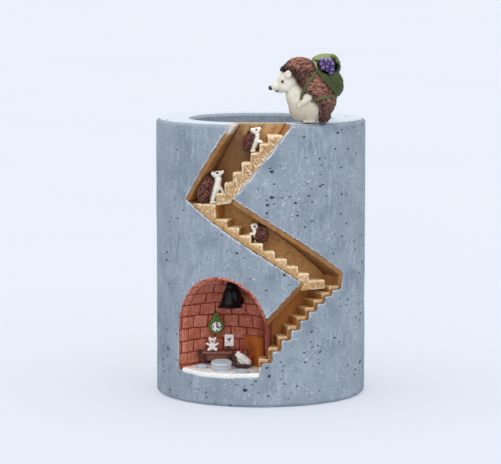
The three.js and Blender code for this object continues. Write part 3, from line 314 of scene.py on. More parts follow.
def curve(route, count):
    """count points on a smooth line through the route's points."""
    route = np.asarray(route, float)
    ends = np.vstack([2 * route[0] - route[1], route, 2 * route[-1] - route[-2]])
    spans = np.linspace(0, len(route) - 1, count)
    first = np.minimum(spans.astype(int), len(route) - 2)
    t = (spans - first)[:, None]
    a, b, c, d = (ends[first + k] for k in range(4))
    return (2 * b + (c - a) * t + (2 * a - 5 * b + 4 * c - d) * t**2 + (3 * b - a - 3 * c + d) * t**3) / 2


def ring_faces(count, sides):
    """Faces of a closed tube of count rings with as many sides each, its two ends last."""
    faces = []
    for i in range(count - 1):
        for k in range(sides):
            after = (k + 1) % sides
            faces.append([i * sides + k, i * sides + after, (i + 1) * sides + after, (i + 1) * sides + k])
    faces.append(list(range(sides))[::-1])
    faces.append(list(range((count - 1) * sides, count * sides)))
    return faces


def tube(line, width, height=None, facing=(0, -1, 0), sides=12):
    """A closed tube along a line, width across and height towards facing, each one number or one a point."""
    line = np.asarray(line, float)
    count = len(line)
    half_width = np.broadcast_to(np.asarray(width, float) / 2, count)
    half_height = half_width if height is None else np.broadcast_to(np.asarray(height, float) / 2, count)
    ahead = np.gradient(line, axis=0)
    ahead /= np.linalg.norm(ahead, axis=1)[:, None]
    across = np.cross(ahead, np.asarray(facing, float))
    across /= np.linalg.norm(across, axis=1)[:, None]
    up = np.cross(across, ahead)
    angles = np.arange(sides) * 2 * math.pi / sides
    ring = (across * half_width[:, None])[:, None] * np.cos(angles)[:, None]
    ring = ring + (up * half_height[:, None])[:, None] * np.sin(angles)[:, None]
    return (line[:, None] + ring).reshape(-1, 3), ring_faces(count, sides)


def lathe(profile, sides, centre=(0, 0)):
    """A closed form turned about a vertical axis; the profile starts and ends on the axis."""
    profile = np.asarray(profile, float)
    angles = np.arange(sides) * 2 * math.pi / sides
    rings = profile[1:-1]
    x = rings[:, 0, None] * np.cos(angles) + centre[0]
    y = rings[:, 0, None] * np.sin(angles) + centre[1]
    z = np.broadcast_to(rings[:, 1, None], x.shape)
    points = np.stack([x, y, z], 2).reshape(-1, 3)
    low, high = len(points), len(points) + 1
    last = low - sides
    points = np.vstack([points, [*centre, profile[0, 1]], [*centre, profile[-1, 1]]])
    faces = ring_faces(len(rings), sides)[:-2]
    for k in range(sides):
        after = (k + 1) % sides
        faces += [[low, after, k], [high, last + k, last + after]]
    return points, faces


# Materials

def rgb(red, green, blue):
    """A paint colour given as it looks on a screen."""
    shares = np.array([red, green, blue]) / 255
    linear = np.where(shares <= 0.04045, shares / 12.92, ((shares + 0.055) / 1.055) ** 2.4)
    return (*linear.tolist(), 1.0)


class Paint:
    """One procedural material, built up layer by layer over a base colour."""

    def __init__(self, name, base, gloss):
        self.material = bpy.data.materials.new(name)
        self.material.use_nodes = True
        self.tree = self.material.node_tree
        self.shader = self.tree.nodes["Principled BSDF"]
        self.shader.inputs["Specular IOR Level"].default_value = gloss
        self.place = self.tree.nodes.new("ShaderNodeTexCoord").outputs["Object"]
        self.colour = rgb(*base)
        self.height = None

    def node(self, kind, inputs, output, **settings):
        """A new node with its inputs and settings; gives back one of its outputs."""
        made = self.tree.nodes.new(kind)
        for key, value in settings.items():
            setattr(made, key, value)
        for key, value in inputs.items():
            if isinstance(value, bpy.types.NodeSocket):
                self.tree.links.new(value, made.inputs[key])
            else:
                made.inputs[key].default_value = value
        return made.outputs[output]

    def spread(self, value, low=0.0, high=1.0, to_low=0.0, to_high=1.0):
        """Draws a value out from low..high to to_low..to_high, and holds it at these ends."""
        limits = {"Value": value, "From Min": low, "From Max": high, "To Min": to_low, "To Max": to_high}
        return self.node("ShaderNodeMapRange", limits, "Result")

    def both(self, first, second, operation="MULTIPLY"):
        return self.node("ShaderNodeMath", {0: first, 1: second}, 0, operation=operation)

    def stretched(self, scale):
        """Surface coordinates drawn out or packed along each axis."""
        return self.node("ShaderNodeMapping", {"Vector": self.place, "Scale": scale}, "Vector")

    def spots(self, size, low, high, stretch=None):
        """Patches of about size millimetres, 0 where the noise is under low and 1 over high."""
        place = self.stretched(stretch) if stretch else self.place
        inputs = {"Vector": place, "Scale": 1 / (size * MM), "Detail": 4.0}
        return self.spread(self.node("ShaderNodeTexNoise", inputs, "Fac"), low, high)

    def pits(self, size, largest, share):
        """Uneven flat holes, at most one in a cell of about size millimetres, and in a share of the cells."""
        flat = self.stretched((0.8, 0.8, 1.3))
        wobble = self.node("ShaderNodeTexNoise", {"Vector": flat, "Scale": 3 / (size * MM)}, "Color")
        push = {0: wobble, "Scale": 0.3 * size * MM}
        shift = self.node("ShaderNodeVectorMath", push, 0, operation="SCALE")
        place = self.node("ShaderNodeVectorMath", {0: flat, 1: shift}, 0, operation="ADD")
        away = self.node("ShaderNodeTexVoronoi", {"Vector": place, "Scale": 1 / (size * MM)}, "Distance")
        tint = away.node.outputs["Color"]
        chance = self.node("ShaderNodeSeparateColor", {"Color": tint}, "Red")
        radius = self.spread(chance, 1 - share, 1.0, 0.0, largest / size)
        depth = self.both(radius, away, "SUBTRACT")
        return self.spread(depth, 0.0, 0.35 * largest / size)

    def marked(self, name, low=0.0, high=1.0):
        """A number kept on the mesh, spread from low..high to 0..1."""
        return self.spread(self.node("ShaderNodeAttribute", {}, "Fac", attribute_name=name), low, high)

    def mask(self, *parts):
        """The product of masks: marked's or spots' arguments, or a mask that is made already."""
        made = []
        for part in parts:
            if isinstance(part, bpy.types.NodeSocket):
                made.append(part)
            else:
                made.append(self.marked(*part) if isinstance(part[0], str) else self.spots(*part))
        return functools.reduce(self.both, made)

    def layers(self, rows):
        """Paints colours over each other, each given with its masks and as thick as their product."""
        for colour, *masks in rows:
            inputs = {0: self.mask(*masks), 6: self.colour, 7: rgb(*colour)}
            self.colour = self.node("ShaderNodeMix", inputs, 2, data_type="RGBA")

    def relief(self, depth, mask):
        """Raises the surface by depth millimetres where mask is 1."""
        raised = self.both(self.mask(mask), depth * MM)
        self.height = raised if self.height is None else self.both(self.height, raised, "ADD")

    def done(self, rough_low, rough_high, size=1.5):
        """Roughness varies between two values over patches of about size millimetres."""
        rough = self.spread(self.spots(size, 0.3, 0.7), to_low=rough_low, to_high=rough_high)
        self.tree.links.new(rough, self.shader.inputs["Roughness"])
        self.tree.links.new(self.colour, self.shader.inputs["Base Color"])
        if self.height is not None:
            inputs = {"Height": self.height, "Strength": 1.0, "Distance": 1.0}
            bump = self.node("ShaderNodeBump", inputs, "Normal")
            self.tree.links.new(bump, self.shader.inputs["Normal"])
        return self.material


def layered(name, base, rows, relief, rough, gloss=0.4):
    """A paint of colour layers, with one relief and two limits of roughness."""
    paint = Paint(name, base, gloss)
    paint.layers(rows)
    paint.relief(*relief)
    return paint.done(*rough)


def painted(name, base, mottle, wash_and_shade, light, grain, rough=(0.5, 0.7), gloss=0.4):
    """Hand-painted resin: mottled, with a dark wash and painted shade in its corners and pale brushed edges.
    """
    return layered(name, base, [
        (mottle, (grain, 0.4, 0.7)),
        # the crease colour is a dark wash and painted shade
        (wash_and_shade, ("crease", 0.1, 0.9)),
        (light, ("edge", 0.15, 0.9), (0.5 * grain, 0.25, 0.6)),
    ], (0.03, (0.35 * grain, 0.3, 0.7)), rough, gloss)


def wood_paint(name, base, streak, light):
    return layered(name, base, [
        (streak, (1, 0.4, 0.7, (0.4, 2.5, 2.5))),
        # dark wash and painted shade in the creases
        ((26, 18, 18), ("crease", 0.1, 0.9)),
        (light, ("edge", 0.3, 1.0), (0.6, 0.3, 0.6)),
    ], (0.04, (0.4, 0.3, 0.7)), (0.45, 0.65))


def spine_paint(name, base, light, deep, shade):
    return layered(name, base, [
        (light, ("tone", 0.35, 1.0)),
        (deep, ("tone", 0.45, 0.0)),
        (shade, ("dark",)),
        (shade, ("root", 0.2, 1.0)),
    ], (0.04, (0.5, 0.3, 0.7)), (0.4, 0.6))


def cement():
    paint = Paint("cement", (134, 145, 157), 0.35)
    holes = paint.both(paint.pits(4.2, 1.0, 0.6), paint.pits(2.4, 0.65, 0.6), "MAXIMUM")
    holes = paint.mask(holes, ("porous",))
    paint.layers([
        ((149, 160, 172), (20, 0.35, 0.7)),
        ((116, 129, 144), (9, 0.48, 0.75)),
        ((163, 174, 185), (1, 0.45, 0.75, (0.8, 0.8, 0.14)), (11, 0.36, 0.62)),
        ((121, 134, 149), (1.1, 0.54, 0.72)),
        ((188, 197, 205), (0.8, 0.58, 0.7), (6, 0.42, 0.6)),
        # painted highlight: the rim's flat top is drawn paler where the light falls on it
        ((200, 208, 218), ("top",)),
        ((212, 219, 227), ("edge", 0.4, 1.0)),
        ((216, 223, 231), ("edge", 0.2, 0.8), (3, 0.3, 0.55), ("cut",)),
        # painted shade: the holes are drawn dark inside, for their own shadow
        ((44, 51, 63), holes),
        ((158, 108, 54), ("recess",)),
    ])
    paint.relief(-0.5, holes)
    paint.relief(0.06, (0.7, 0.3, 0.7))
    paint.relief(0.12, (4, 0.3, 0.7))
    return paint.done(0.6, 0.85, 5)


CEMENT = cement()
STEP_PAINT = layered("step_paint", (226, 202, 160), [
    ((208, 174, 124), (1.8, 0.42, 0.66)),
    ((166, 112, 52), ("riser", 0.1, 0.9)),
    ((204, 172, 130), ("front", 0.2, 1.4)),
    ((188, 150, 104), (3.2, 0.45, 0.7), ("front", 0.2, 0.8)),
    # darker, browner paint on the flights that STEP_LOOKS gives it to
    ((180, 134, 82), ("aged",), ("riser", 0.9, 0.1)),
    # painted shade on fronts that lie under the tread above
    ((124, 76, 32), ("sunk",)),
    ((246, 232, 204), (1.0, 0.54, 0.66), ("flecked",)),
    ((144, 96, 54), (0.7, 0.5, 0.62), ("flecked",)),
    # dark wash and painted shade in the creases
    ((98, 56, 20), ("crease", 0.06, 0.6)),
    ((184, 144, 94), ("stringer",)),
    ((162, 116, 66), ("stringer", 0.4, 1.0), (2.4, 0.45, 0.7)),
    ((208, 178, 134), ("stringer",), (0.8, 0.52, 0.66)),
    ((244, 228, 194), ("edge", 0.15, 0.7), (1.1, 0.25, 0.5), ("stringer", 1.0, 0.3), ("sunk", 1.0, 0.3),
     ("aged", 1.5, 0.0)),
    ((186, 179, 175), ("limed",)),
], (0.1, (0.6, 0.3, 0.7)), (0.6, 0.8), 0.3)
STAIRWELL_PAINT = layered("stairwell_paint", (148, 108, 68), [
    ((132, 90, 49), (5, 0.4, 0.7)),
    ((164, 125, 82), (1.2, 0.5, 0.7)),
    ((158, 100, 43), (7, 0.5, 0.7)),
    ((128, 92, 57), ("upper",)),
    ((188, 138, 84), ("middle",), (2, 0.2, 0.55)),
    ((164, 102, 44), ("lower",), (3, 0.2, 0.5)),
    # painted light: the walls near the rim are drawn lighter and warmer where light falls
    ((192, 152, 104), ("golden",), (3, 0.3, 0.6)),
    # painted shade under the downward-facing walls deep in the stairwell
    ((98, 56, 20), ("shelter",)),
    # dark wash and painted shade in the creases
    ((76, 42, 13), ("crease", 0.04, 0.7)),
    ((186, 144, 90), ("edge", 0.3, 1.0), (1, 0.35, 0.65)),
    ((204, 194, 180), ("limed",), (1.6, 0.2, 0.5)),
    # painted shade on the outward-facing front band of the lower walls
    ((122, 80, 38), ("plain",)),
], (0.1, (0.8, 0.3, 0.7)), (0.55, 0.8), 0.3)
BRICK_PAINT = layered("brick_paint", (187, 101, 76), [
    ((196, 118, 93), ("tone", 0.1, 0.9)),
    ((170, 84, 64), (1.1, 0.45, 0.7)),
    ((214, 156, 138), (0.7, 0.46, 0.64), (5, 0.36, 0.6)),
    ((130, 46, 34), ("joint", 0.2, 0.9)),
    ((218, 152, 130), ("edge", 0.3, 1.0)),
    ((128, 62, 50), ("shade",)),
], (0.08, (0.6, 0.3, 0.7)), (0.65, 0.85), 0.3)
DOOR_GRAIN = (1, 0.35, 0.7, (3.0, 3.0, 0.25))
DOOR_PAINT = layered("door_paint", (178, 94, 26), [
    ((150, 72, 18), DOOR_GRAIN),
    ((198, 114, 40), (4, 0.45, 0.75)),
    # dark wash and painted shade in the creases
    ((78, 36, 12), ("crease", 0.1, 0.8)),
    ((198, 128, 60), ("edge", 0.3, 1.0)),
], (-0.06, DOOR_GRAIN), (0.45, 0.65))
LEAF_PAINT = layered("leaf_paint", (44, 56, 16), [
    ((54, 68, 20), (2.2, 0.4, 0.7)),
    ((136, 150, 98), ("pale",)),
    ((78, 92, 40), ("vein",)),
    # dark wash and painted shade in the creases
    ((24, 33, 16), ("crease", 0.1, 0.9)),
    # painted shade in the pocket's opening
    ((18, 24, 16), ("inside",)),
    ((102, 118, 60), ("edge", 0.3, 0.95), (0.8, 0.3, 0.6)),
], (0.04, (0.5, 0.3, 0.7)), (0.4, 0.6))
CREAM_PAINT = layered("cream_paint", (226, 220, 205), [
    ((214, 206, 188), (2.4, 0.4, 0.7)),
    ((176, 166, 146), ("shade",)),
    # dark wash and painted shade in the creases
    ((146, 128, 100), ("crease", 0.1, 0.9)),
    ((244, 240, 228), ("edge", 0.15, 0.9), (1.2, 0.25, 0.6)),
], (0.03, (0.8, 0.3, 0.7)), (0.4, 0.55))
RUBBER = layered("rubber", (40, 41, 43), [
    ((54, 55, 57), (3, 0.45, 0.75)),
    ((88, 89, 92), ("edge", 0.3, 1.0)),
], (0.03, (0.5, 0.3, 0.7)), (0.6, 0.8), 0.3)
SPINE_PAINT = spine_paint("spine_paint", (134, 81, 64), (188, 136, 114), (76, 43, 36), (38, 17, 14))
RUDDY_SPINES = spine_paint("ruddy_spines", (122, 46, 30), (192, 134, 110), (54, 15, 7), (44, 12, 6))
BENCH_PAINT = wood_paint("bench_paint", (140, 88, 70), (112, 66, 54), (188, 138, 116))
DARK_WOOD = wood_paint("dark_wood", (66, 42, 38), (44, 28, 27), (118, 84, 74))
WHITE_PAINT = painted("white_paint", (236, 234, 230), (224, 222, 218), (150, 144, 136), (250, 249, 246), 2.0)
PALE_PAINT = painted("pale_paint", (190, 198, 208), (176, 186, 198), (112, 120, 132), (224, 229, 236), 1.4)
BRIGHT_WHITE = painted(
    "bright_white", (252, 251, 248), (244, 243, 239), (176, 168, 158), (255, 255, 253), 2.0,
)
FIGURE_CREAM = painted(
    "figure_cream", (244, 240, 230), (232, 226, 212), (160, 142, 116), (252, 250, 244), 1.6,
)
LAMP_BLACK = painted(
    "lamp_black", (8, 9, 13), (14, 16, 21), (3, 3, 4), (56, 62, 74), 1.4, rough=(0.24, 0.36), gloss=0.22,
)
EYE_BLACK = painted(
    "eye_black", (14, 12, 13), (24, 18, 18), (6, 6, 6), (40, 34, 34), 0.8, rough=(0.12, 0.22), gloss=0.7,
)
CLOCK_GREEN = painted("clock_green", (90, 114, 34), (70, 92, 25), (32, 44, 14), (142, 164, 76), 0.9)
# on the grapes the pale edge colour is a painted highlight on their tops, and the crease colour painted shade
# where they touch
GRAPE_PAINT = painted(
    "grape_paint", (118, 96, 164), (100, 78, 144), (26, 16, 48), (186, 172, 222), 0.9, rough=(0.3, 0.45),
)
RED_PAINT = painted("red_paint", (166, 42, 38), (140, 30, 30), (74, 14, 16), (206, 92, 82), 0.9)


def make_features(name, forms, *nodes, material=EYE_BLACK):
    """Small dark glossy forms, such as a nose, eyes or a knob."""
    finish_piece(mesh_object(name, *joined(forms)), material, "black", *nodes, wear_and_shade=(1, 1.0))


# Pot

def from_axis(points):
    return np.hypot(points[:, 0], points[:, 1])


def wall_angle(points):
    """Angle round the pot from its front towards +X."""
    return np.arctan2(points[:, 0], -points[:, 1])


def true_round(points):
    """Moves points of the faceted walls onto the true round walls."""
    reach = from_axis(points)
    slope = CAVITY_TAPER / (POT_HEIGHT - CAVITY_FLOOR_Z - CAVITY_CORNER)
    cavity = CAVITY_RADIUS - (POT_HEIGHT - points[:, 2]) * slope
    for wall, near in ((np.full(len(points), POT_RADIUS), 0.2), (cavity, 0.3)):
        on_wall = np.abs(reach - wall) < near
        points[on_wall, :2] *= (wall[on_wall] / reach[on_wall])[:, None]
    return points


def make_pot():
    pot = skin_of("pot_body", "pot_casting", 0.55, 1, [floor_lip()])
    points = true_round(points_of(pot))
    move_points(pot, points)
    mark_wear_and_shade(pot, 5, 0.3)
    x, y, z = points.T
    reach = from_axis(points)
    in_wall = (reach > CAVITY_RADIUS + 2) * (1 - ramp(reach, POT_RADIUS - 1.1, POT_RADIUS - 0.4))
    in_gap = (y < 0) & (x > RIM_GAP[0]) & (x < RIM_GAP[1])
    below_rim = 1 - ramp(z + 2 * ~in_gap, POT_HEIGHT - 0.7, POT_HEIGHT - 0.2)
    level = ramp(normals_of(pot)[:, 2], 0.85, 0.95)
    crowding = 0.35 * x / POT_RADIUS + 0.25 * (1 - 2 * z / POT_HEIGHT)
    mark(
        pot,
        recess=in_wall * below_rim * (z > CUT_FOOT_Z),
        cut=(z > 3) * (z < POT_HEIGHT - 2.5) * (0.3 + 0.7 * ramp(z, *CUT_PALE)),
        # top: painted highlight on the rim's flat top
        top=level * ramp(z, POT_HEIGHT - 1, POT_HEIGHT - 0.4),
        porous=ramp(noise(points, 13, 3) + crowding, -0.25, -0.15),
    )
    swell(pot, 0.1 * noise(points, 15, 1) + 0.04 * noise(points, 4, 2))
    keep_between(pot, 0, POT_HEIGHT)
    finish_piece(pot, CEMENT, "cement", "pot_body")


def make_plug():
    low, high = corners_of("drain_plug")
    radius = high[0]
    stem = radius - 2.8
    stem_turns = [(0, 0), (stem - 1.2, 0), (stem - 0.4, 0.4), (stem, 1.2)]
    flange_turns = [
        (stem, 0), (radius - 0.3, 0), (radius, 0.3), (radius, 1.3), (radius - 0.5, 1.8), (3.2, 1.8),
        (2.0, 2.2), (1.6, 3), (1.8, 4.4), (2.2, 5.4), (2.1, 6.3),
    ]
    flange_z = CAVITY_FLOOR_Z + 0.3
    profile = [(reach, low[2] + z) for reach, z in stem_turns]
    profile += [(reach, flange_z + z) for reach, z in flange_turns]
    profile += [(1.5, high[2]), (0, high[2])]
    plug = mesh_object("drain_stopper", *lathe(profile, 64))
    finish_piece(plug, RUBBER, "rubber", "drain_plug", wear_and_shade=(2, 0.2), body="drain_plug")


# Stairwell

def press_into_wall(obj, heights):
    """Swells a piece that is set in the pot's wall until it meets the wall, without standing out of it."""
    swell(obj, heights)
    points = points_of(obj)
    points[:, :2] *= np.minimum(1, (POT_RADIUS - 0.1) / from_axis(points))[:, None]
    points[:, 2] = np.minimum(points[:, 2], POT_HEIGHT)
    move_points(obj, points)


def wall_facing(points, normals):
    """How much a surface looks along the pot's wall and out of it, each from -1 to 1."""
    angle = wall_angle(points)
    along = normals[:, 0] * np.cos(angle) + normals[:, 1] * np.sin(angle)
    outward = normals[:, 0] * np.sin(angle) - normals[:, 1] * np.cos(angle)
    return along, outward


def under_steps(points):
    """How much of a sloping board each point of a flight belongs to, from its lower edge up."""
    along = wall_angle(points) * POT_RADIUS
    outer = from_axis(points) > POT_RADIUS - 2
    stations = np.arange(along.min(), along.max() + 1, 1.0)
    slot = np.clip(np.round(along - stations[0]).astype(int), 0, len(stations) - 1)
    lowest = np.full(len(stations), points[:, 2].max())
    np.minimum.at(lowest, slot[outer], points[outer, 2])
    return outer * (1 - ramp(points[:, 2] - np.interp(along, stations, lowest), 1.7, 2.2))


def below_tread(points):
    """How far each point of a flight lies under the tread above it."""
    along = wall_angle(points) * POT_RADIUS
    slot = np.round((along - along.min()) / 0.3).astype(int)
    highest = np.zeros(slot.max() + 1)
    np.maximum.at(highest, slot, points[:, 2])
    return highest[slot] - points[:, 2]


def make_steps():
    for node, (flecked, sunk, aged) in STEP_LOOKS.items():
        steps = skin_of(node, f"{node}_steps", 0.26, 2)
        points = points_of(steps)
        board = under_steps(points) * (node in BOARDED)
        swell(steps, 0.15 * board)
        press_into_wall(steps, WALL_JOINT + 0.14 * noise(points, 1.3, 3) + 0.1 * noise(points, 3.5, 4))
        pressed = points_of(steps)
        along, outward = wall_facing(pressed, normals_of(steps))
        front = ramp(outward, 0.5, 0.85)
        mark(
            steps,
            stringer=board,
            riser=ramp(np.abs(along), 0.45, 0.85),
            front=front,
            flecked=flecked * ramp(outward, 0.6, 0.85),
            # painted shade on fronts that lie more than about a millimetre under the tread above
            sunk=sunk * front * ramp(below_tread(pressed), 0.9, 1.4),
            aged=aged,
            limed=1 - ramp(points[:, 2], STEP_FOOT_Z, STEP_FOOT_Z + 0.5),
        )
        finish_piece(steps, STEP_PAINT, "step_tan", node, wear_and_shade=(12, 0.35))


def make_stairwell():
    reach = POT_RADIUS - 1.1
    corners = []
    for route in WALL_CORNERS:
        angles, heights = np.transpose(route)
        turns = np.radians(angles)
        line = np.stack([reach * np.sin(turns), -reach * np.cos(turns), heights], 1)
        corners.append(tube(curve(line, 9), 1.9, 2.2))
    walls = skin_of("stairwell_liner", "stairwell_walls", 0.3, 3, corners)
    points = points_of(walls)
    press_into_wall(walls, WALL_JOINT + 0.08 * noise(points, 2.5, 5) + 0.08 * noise(points, 7, 6))
    normals = normals_of(walls)
    x, _, z = points.T
    depth = POT_RADIUS - from_axis(points)
    inside = ramp(depth, 3, 7)
    over_lower, over_middle = ramp(z, *LOWER_TOP), ramp(z, *MIDDLE_TOP)
    rim_end = ramp(z, POT_HEIGHT - 4.5, POT_HEIGHT - 3) * (x < -6)
    _, outward = wall_facing(points, normals)
    front = ramp(outward, 0.4, 0.7) * (1 - ramp(depth, 0.8, 1.6))
    mark(
        walls,
        # painted shade under the downward-facing walls deep in the stairwell
        shelter=0.75 * ramp(-normals[:, 2], 0.1, 0.7) * ramp(depth, 1.5, 8),
        limed=rim_end * (1 - ramp(depth, 4, 6)),
        # painted light on the walls near the top right of the stairwell
        golden=ramp(z + 0.5 * x, POT_HEIGHT - 14, POT_HEIGHT - 4),
        lower=1 - over_lower,
        middle=over_lower * (1 - over_middle) * inside,
        upper=0.7 * over_middle * inside,
        # painted shade on the outward-facing front band of the lower walls
        plain=front * (1 - ramp(z, 47, 50)),
    )
    finish_piece(walls, STAIRWELL_PAINT, "tan", "stairwell_liner", wear_and_shade=(14, 0.4))


# Brick room

def leaned(points, angle):
    """Points turned about the X axis, as the room's floor is."""
    x, y, z = points.T
    turned_y = y * math.cos(angle) - z * math.sin(angle)
    return np.stack([x, turned_y, y * math.sin(angle) + z * math.cos(angle)], 1)


def lip_rise(x):
    """How far the cement in front of the floor rises over the floor's underside."""
    return np.interp(x, *zip(*FLOOR_LIP))


def floor_lip():
    """The cement in front of the room's floor, a band in the pot's wall."""
    x = np.linspace(FLOOR_LIP[0][0], FLOOR_LIP[-1][0], 80)
    y = -np.sqrt(POT_RADIUS**2 - x**2)
    floor = points_of(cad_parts["room_floor"]) - FLOOR_ORIGIN
    underside = leaned(floor, -FLOOR_TILT)[:, 2].min()
    under = ((y - ROOM_AXIS[1]) * math.sin(FLOOR_TILT) + underside) / math.cos(FLOOR_TILT)
    top = FLOOR_ORIGIN[2] + under + lip_rise(x)
    foot = np.full(len(x), LIP_FOOT_Z)
    inner = 1 - LIP_DEPTH / POT_RADIUS
    corners = [(x, y, foot), (x, y, top), (inner * x, inner * y, top), (inner * x, inner * y, foot)]
    points = np.stack([np.stack(corner, 1) for corner in corners], 1).reshape(-1, 3)
    return points, ring_faces(len(x), len(corners))


def brick_pattern(points):
    """How deep each point lies in a joint, from 0 to 1, and a random tone for each brick."""
    x, y = (points[:, :2] - ROOM_AXIS).T
    z = points[:, 2]
    arc = np.arcsin(np.clip((z - ROOM_SPRING_Z) / (ROOM_TOP_Z - ROOM_SPRING_Z), 0, 1))
    length = np.minimum(z, ROOM_SPRING_Z) + arc * (ROOM_INNER + ROOM_TOP_Z - ROOM_SPRING_Z) / 2
    length = length + 0.25 * noise(points, 5, 8)
    course = np.floor(length / COURSE)
    middle_arc = np.clip(((course + 0.5) * COURSE - ROOM_SPRING_Z) / ROOM_INNER, 0, 1.45)
    around = 2 * math.pi * ROOM_INNER * np.cos(middle_arc)
    count = np.maximum(np.round(around / BRICK_LENGTH), 5)
    place = np.arctan2(x, y) / (2 * math.pi) * count + 0.5 * (course % 2) + 0.06 * noise(points, 3, 9)
    brick = np.floor(place)
    end_gap = (0.5 - np.abs(place - brick - 0.5)) * around / count
    bed_gap = (0.5 - np.abs(length / COURSE - course - 0.5)) * COURSE
    joint = 1 - ramp(np.minimum(end_gap, bed_gap), 0.4 * JOINT, 1.1 * JOINT)
    tone = np.sin(course * SCATTER[0] + brick * SCATTER[1]) * SCATTER_SPREAD % 1
    return joint, tone


def flared(points):
    """Opens the room's inner face out towards the front, so that its wall ends in a thin edge."""
    squeeze = np.array([1, 1, ROOM_INNER / (ROOM_TOP_Z - ROOM_SPRING_Z)])
    spread = (points - [*ROOM_AXIS, ROOM_SPRING_Z]) * squeeze
    spread[:, 2] = np.maximum(spread[:, 2], 0)
    away = np.linalg.norm(spread, axis=1)
    inner = np.clip((ROOM_OUTER - away) / (ROOM_OUTER - ROOM_INNER), 0, 1)
    front = ramp(from_axis(points), POT_RADIUS - 4, POT_RADIUS - 0.8)
    return points + spread / away[:, None] * (0.85 * (ROOM_OUTER - ROOM_INNER) * inner * front)[:, None]


def make_brick_wall():
    wall = skin_of("brick_room_shell", "brick_wall", 0.26, 3)
    points = flared(points_of(wall))
    move_points(wall, points)
    normals = normals_of(wall)
    mark_wear_and_shade(wall, 8, 0.3)
    joint, tone = brick_pattern(points)
    x, y = (points[:, :2] - ROOM_AXIS).T
    inward = -(normals[:, 0] * x + normals[:, 1] * y) / np.maximum(np.hypot(x, y), 1e-6)
    _, outward = wall_facing(points, normals)
    facing = ramp(np.max([inward, -normals[:, 2], outward], axis=0), 0.2, 0.6)
    crowned = 0.06 * noise(points, 1.2, 10) + 0.07 * noise(points, 3, 11)
    press_into_wall(wall, (1 - facing) * WALL_JOINT - facing * (JOINT_DEPTH * joint + 0.05) + crowned)
    # Painted shade: the right jamb and right inner wall are darkened, and the lighter brick tone fades out
    # towards the right.
    jamb = ramp(x, 13, 16.5) * (1 - ramp(points[:, 2], 33, 40))
    mark(wall, joint=joint * facing, shade=jamb, tone=tone * (1 - ramp(x, 0, 14)))
    finish_piece(wall, BRICK_PAINT, "brick", "brick_room_shell")


def make_door():
    door = skin_of("room_door", "plank_door", 0.16, 2)
    points = points_of(door)
    x, y = (points[:, :2] - ROOM_AXIS).T
    angle = np.arctan2(x, y)
    span = angle.max() - angle.min()
    share = (angle - angle.min()) / span * DOOR_PLANKS
    gap = np.abs(share - np.round(share)) * span / DOOR_PLANKS * ROOM_INNER
    inner_plank = (share > 0.5) & (share < DOOR_PLANKS - 0.5)
    swell(door, -0.22 * (1 - ramp(gap, 0.05, 0.28)) * inner_plank + 0.03 * noise(points, 1.2, 12))
    finish_piece(door, DOOR_PAINT, "door_wood", "room_door", wear_and_shade=(6, 0.12))
    knob = ball(centre_of("door_knob"), (0.55, 0.55, 0.55))
    make_features("door_handle", [knob], "door_knob", material=LAMP_BLACK)


def make_lamp():
    low, high = (corner + [0, 0, LAMP_LIFT] for corner in corners_of("lamp_shade"))
    x, y, _ = (low + high) / 2
    radius = (high[0] - low[0]) / 2
    top = high[2]
    outer = [(1.25, 1), (1.75, 0.93), (2.5, 0.72), (3.2, 0.45), (3.95, 0.2), (radius, 0.03), (radius, 0)]
    inner = [(radius - 0.55, 0.0), (3.4, 0.2), (2.6, 0.45), (1.7, 0.72), (0.9, 0.86)]
    profile = np.vstack([[0, 1], curve(outer, 28), curve(inner, 18), [0, 0.87]])
    profile[:, 1] = low[2] + profile[:, 1] * (top - low[2])
    points, faces = lathe(profile, 48, (x, y))
    shade = mesh_object("lamp_bell", points, [face[::-1] for face in faces])
    swell(shade, 0.04 * noise(points, 1.8, 13))
    finish_piece(shade, LAMP_BLACK, "black", "lamp_shade", wear_and_shade=(3, 0.15))
    arm_low, arm_high = corners_of("lamp_arm")
    end_x, end_y, end_z = arm_high[0] - 1.2, arm_high[1] - 1.6, arm_low[2] + 1
    route = [
        (x, y, top - 0.6), (x + 0.3, y, top + 0.5), (x + 1.3, y + 0.7, top), (x + 2.2, y + 1.9, top - 2.4),
        (end_x - 1.2, end_y, end_z + 0.6), (end_x - 0.4, end_y + 0.9, end_z),
    ]
    forms = [
        tube(curve(route, 30), 3.4),
        ball((x + 0.2, y, top + 0.2), (1.7, 1.6, 1.3)),
        ball((x + 1.9, y - 0.5, top - 4.0), (2.5, 2.4, 4.0)),
    ]
    neck = sculpted("lamp_neck", forms, 0.14, 6)
    finish_piece(neck, LAMP_BLACK, "black", "lamp_arm", wear_and_shade=(8, 0.2))


def make_clock():
    case = skin_of("clock_case", "clock_pear", 0.11, 22)
    swell(case, 0.12 + 0.06 * noise(points_of(case), 0.9, 14))
    finish_piece(case, CLOCK_GREEN, "leaf_green", "clock_case", wear_and_shade=(8, 0.08))
    dressed("clock_dial", "clock_face", BRIGHT_WHITE, "white", 0.09, 3)
    swell(dressed("clock_hands", "clock_pointers", EYE_BLACK, "black", 0.06, 1), 0.1)
    centre = centre_of("clock_dial")
    out = np.array([*(ROOM_AXIS - centre[:2]), 0])
    out /= np.linalg.norm(out)
    across = np.array([-out[1], out[0], 0])
    up = np.array([0, 0, 1])
    dots = []
    for hour in range(12):
        turn = hour * math.pi / 6
        size = 0.36 if hour % 3 == 0 else 0.17
        place = centre + DIAL_REACH * (across * math.sin(turn) + up * math.cos(turn)) + out * 0.26
        dots.append(ball(place, (size, size * 0.7, size), detail=2))
    make_features("clock_hour_dots", dots)


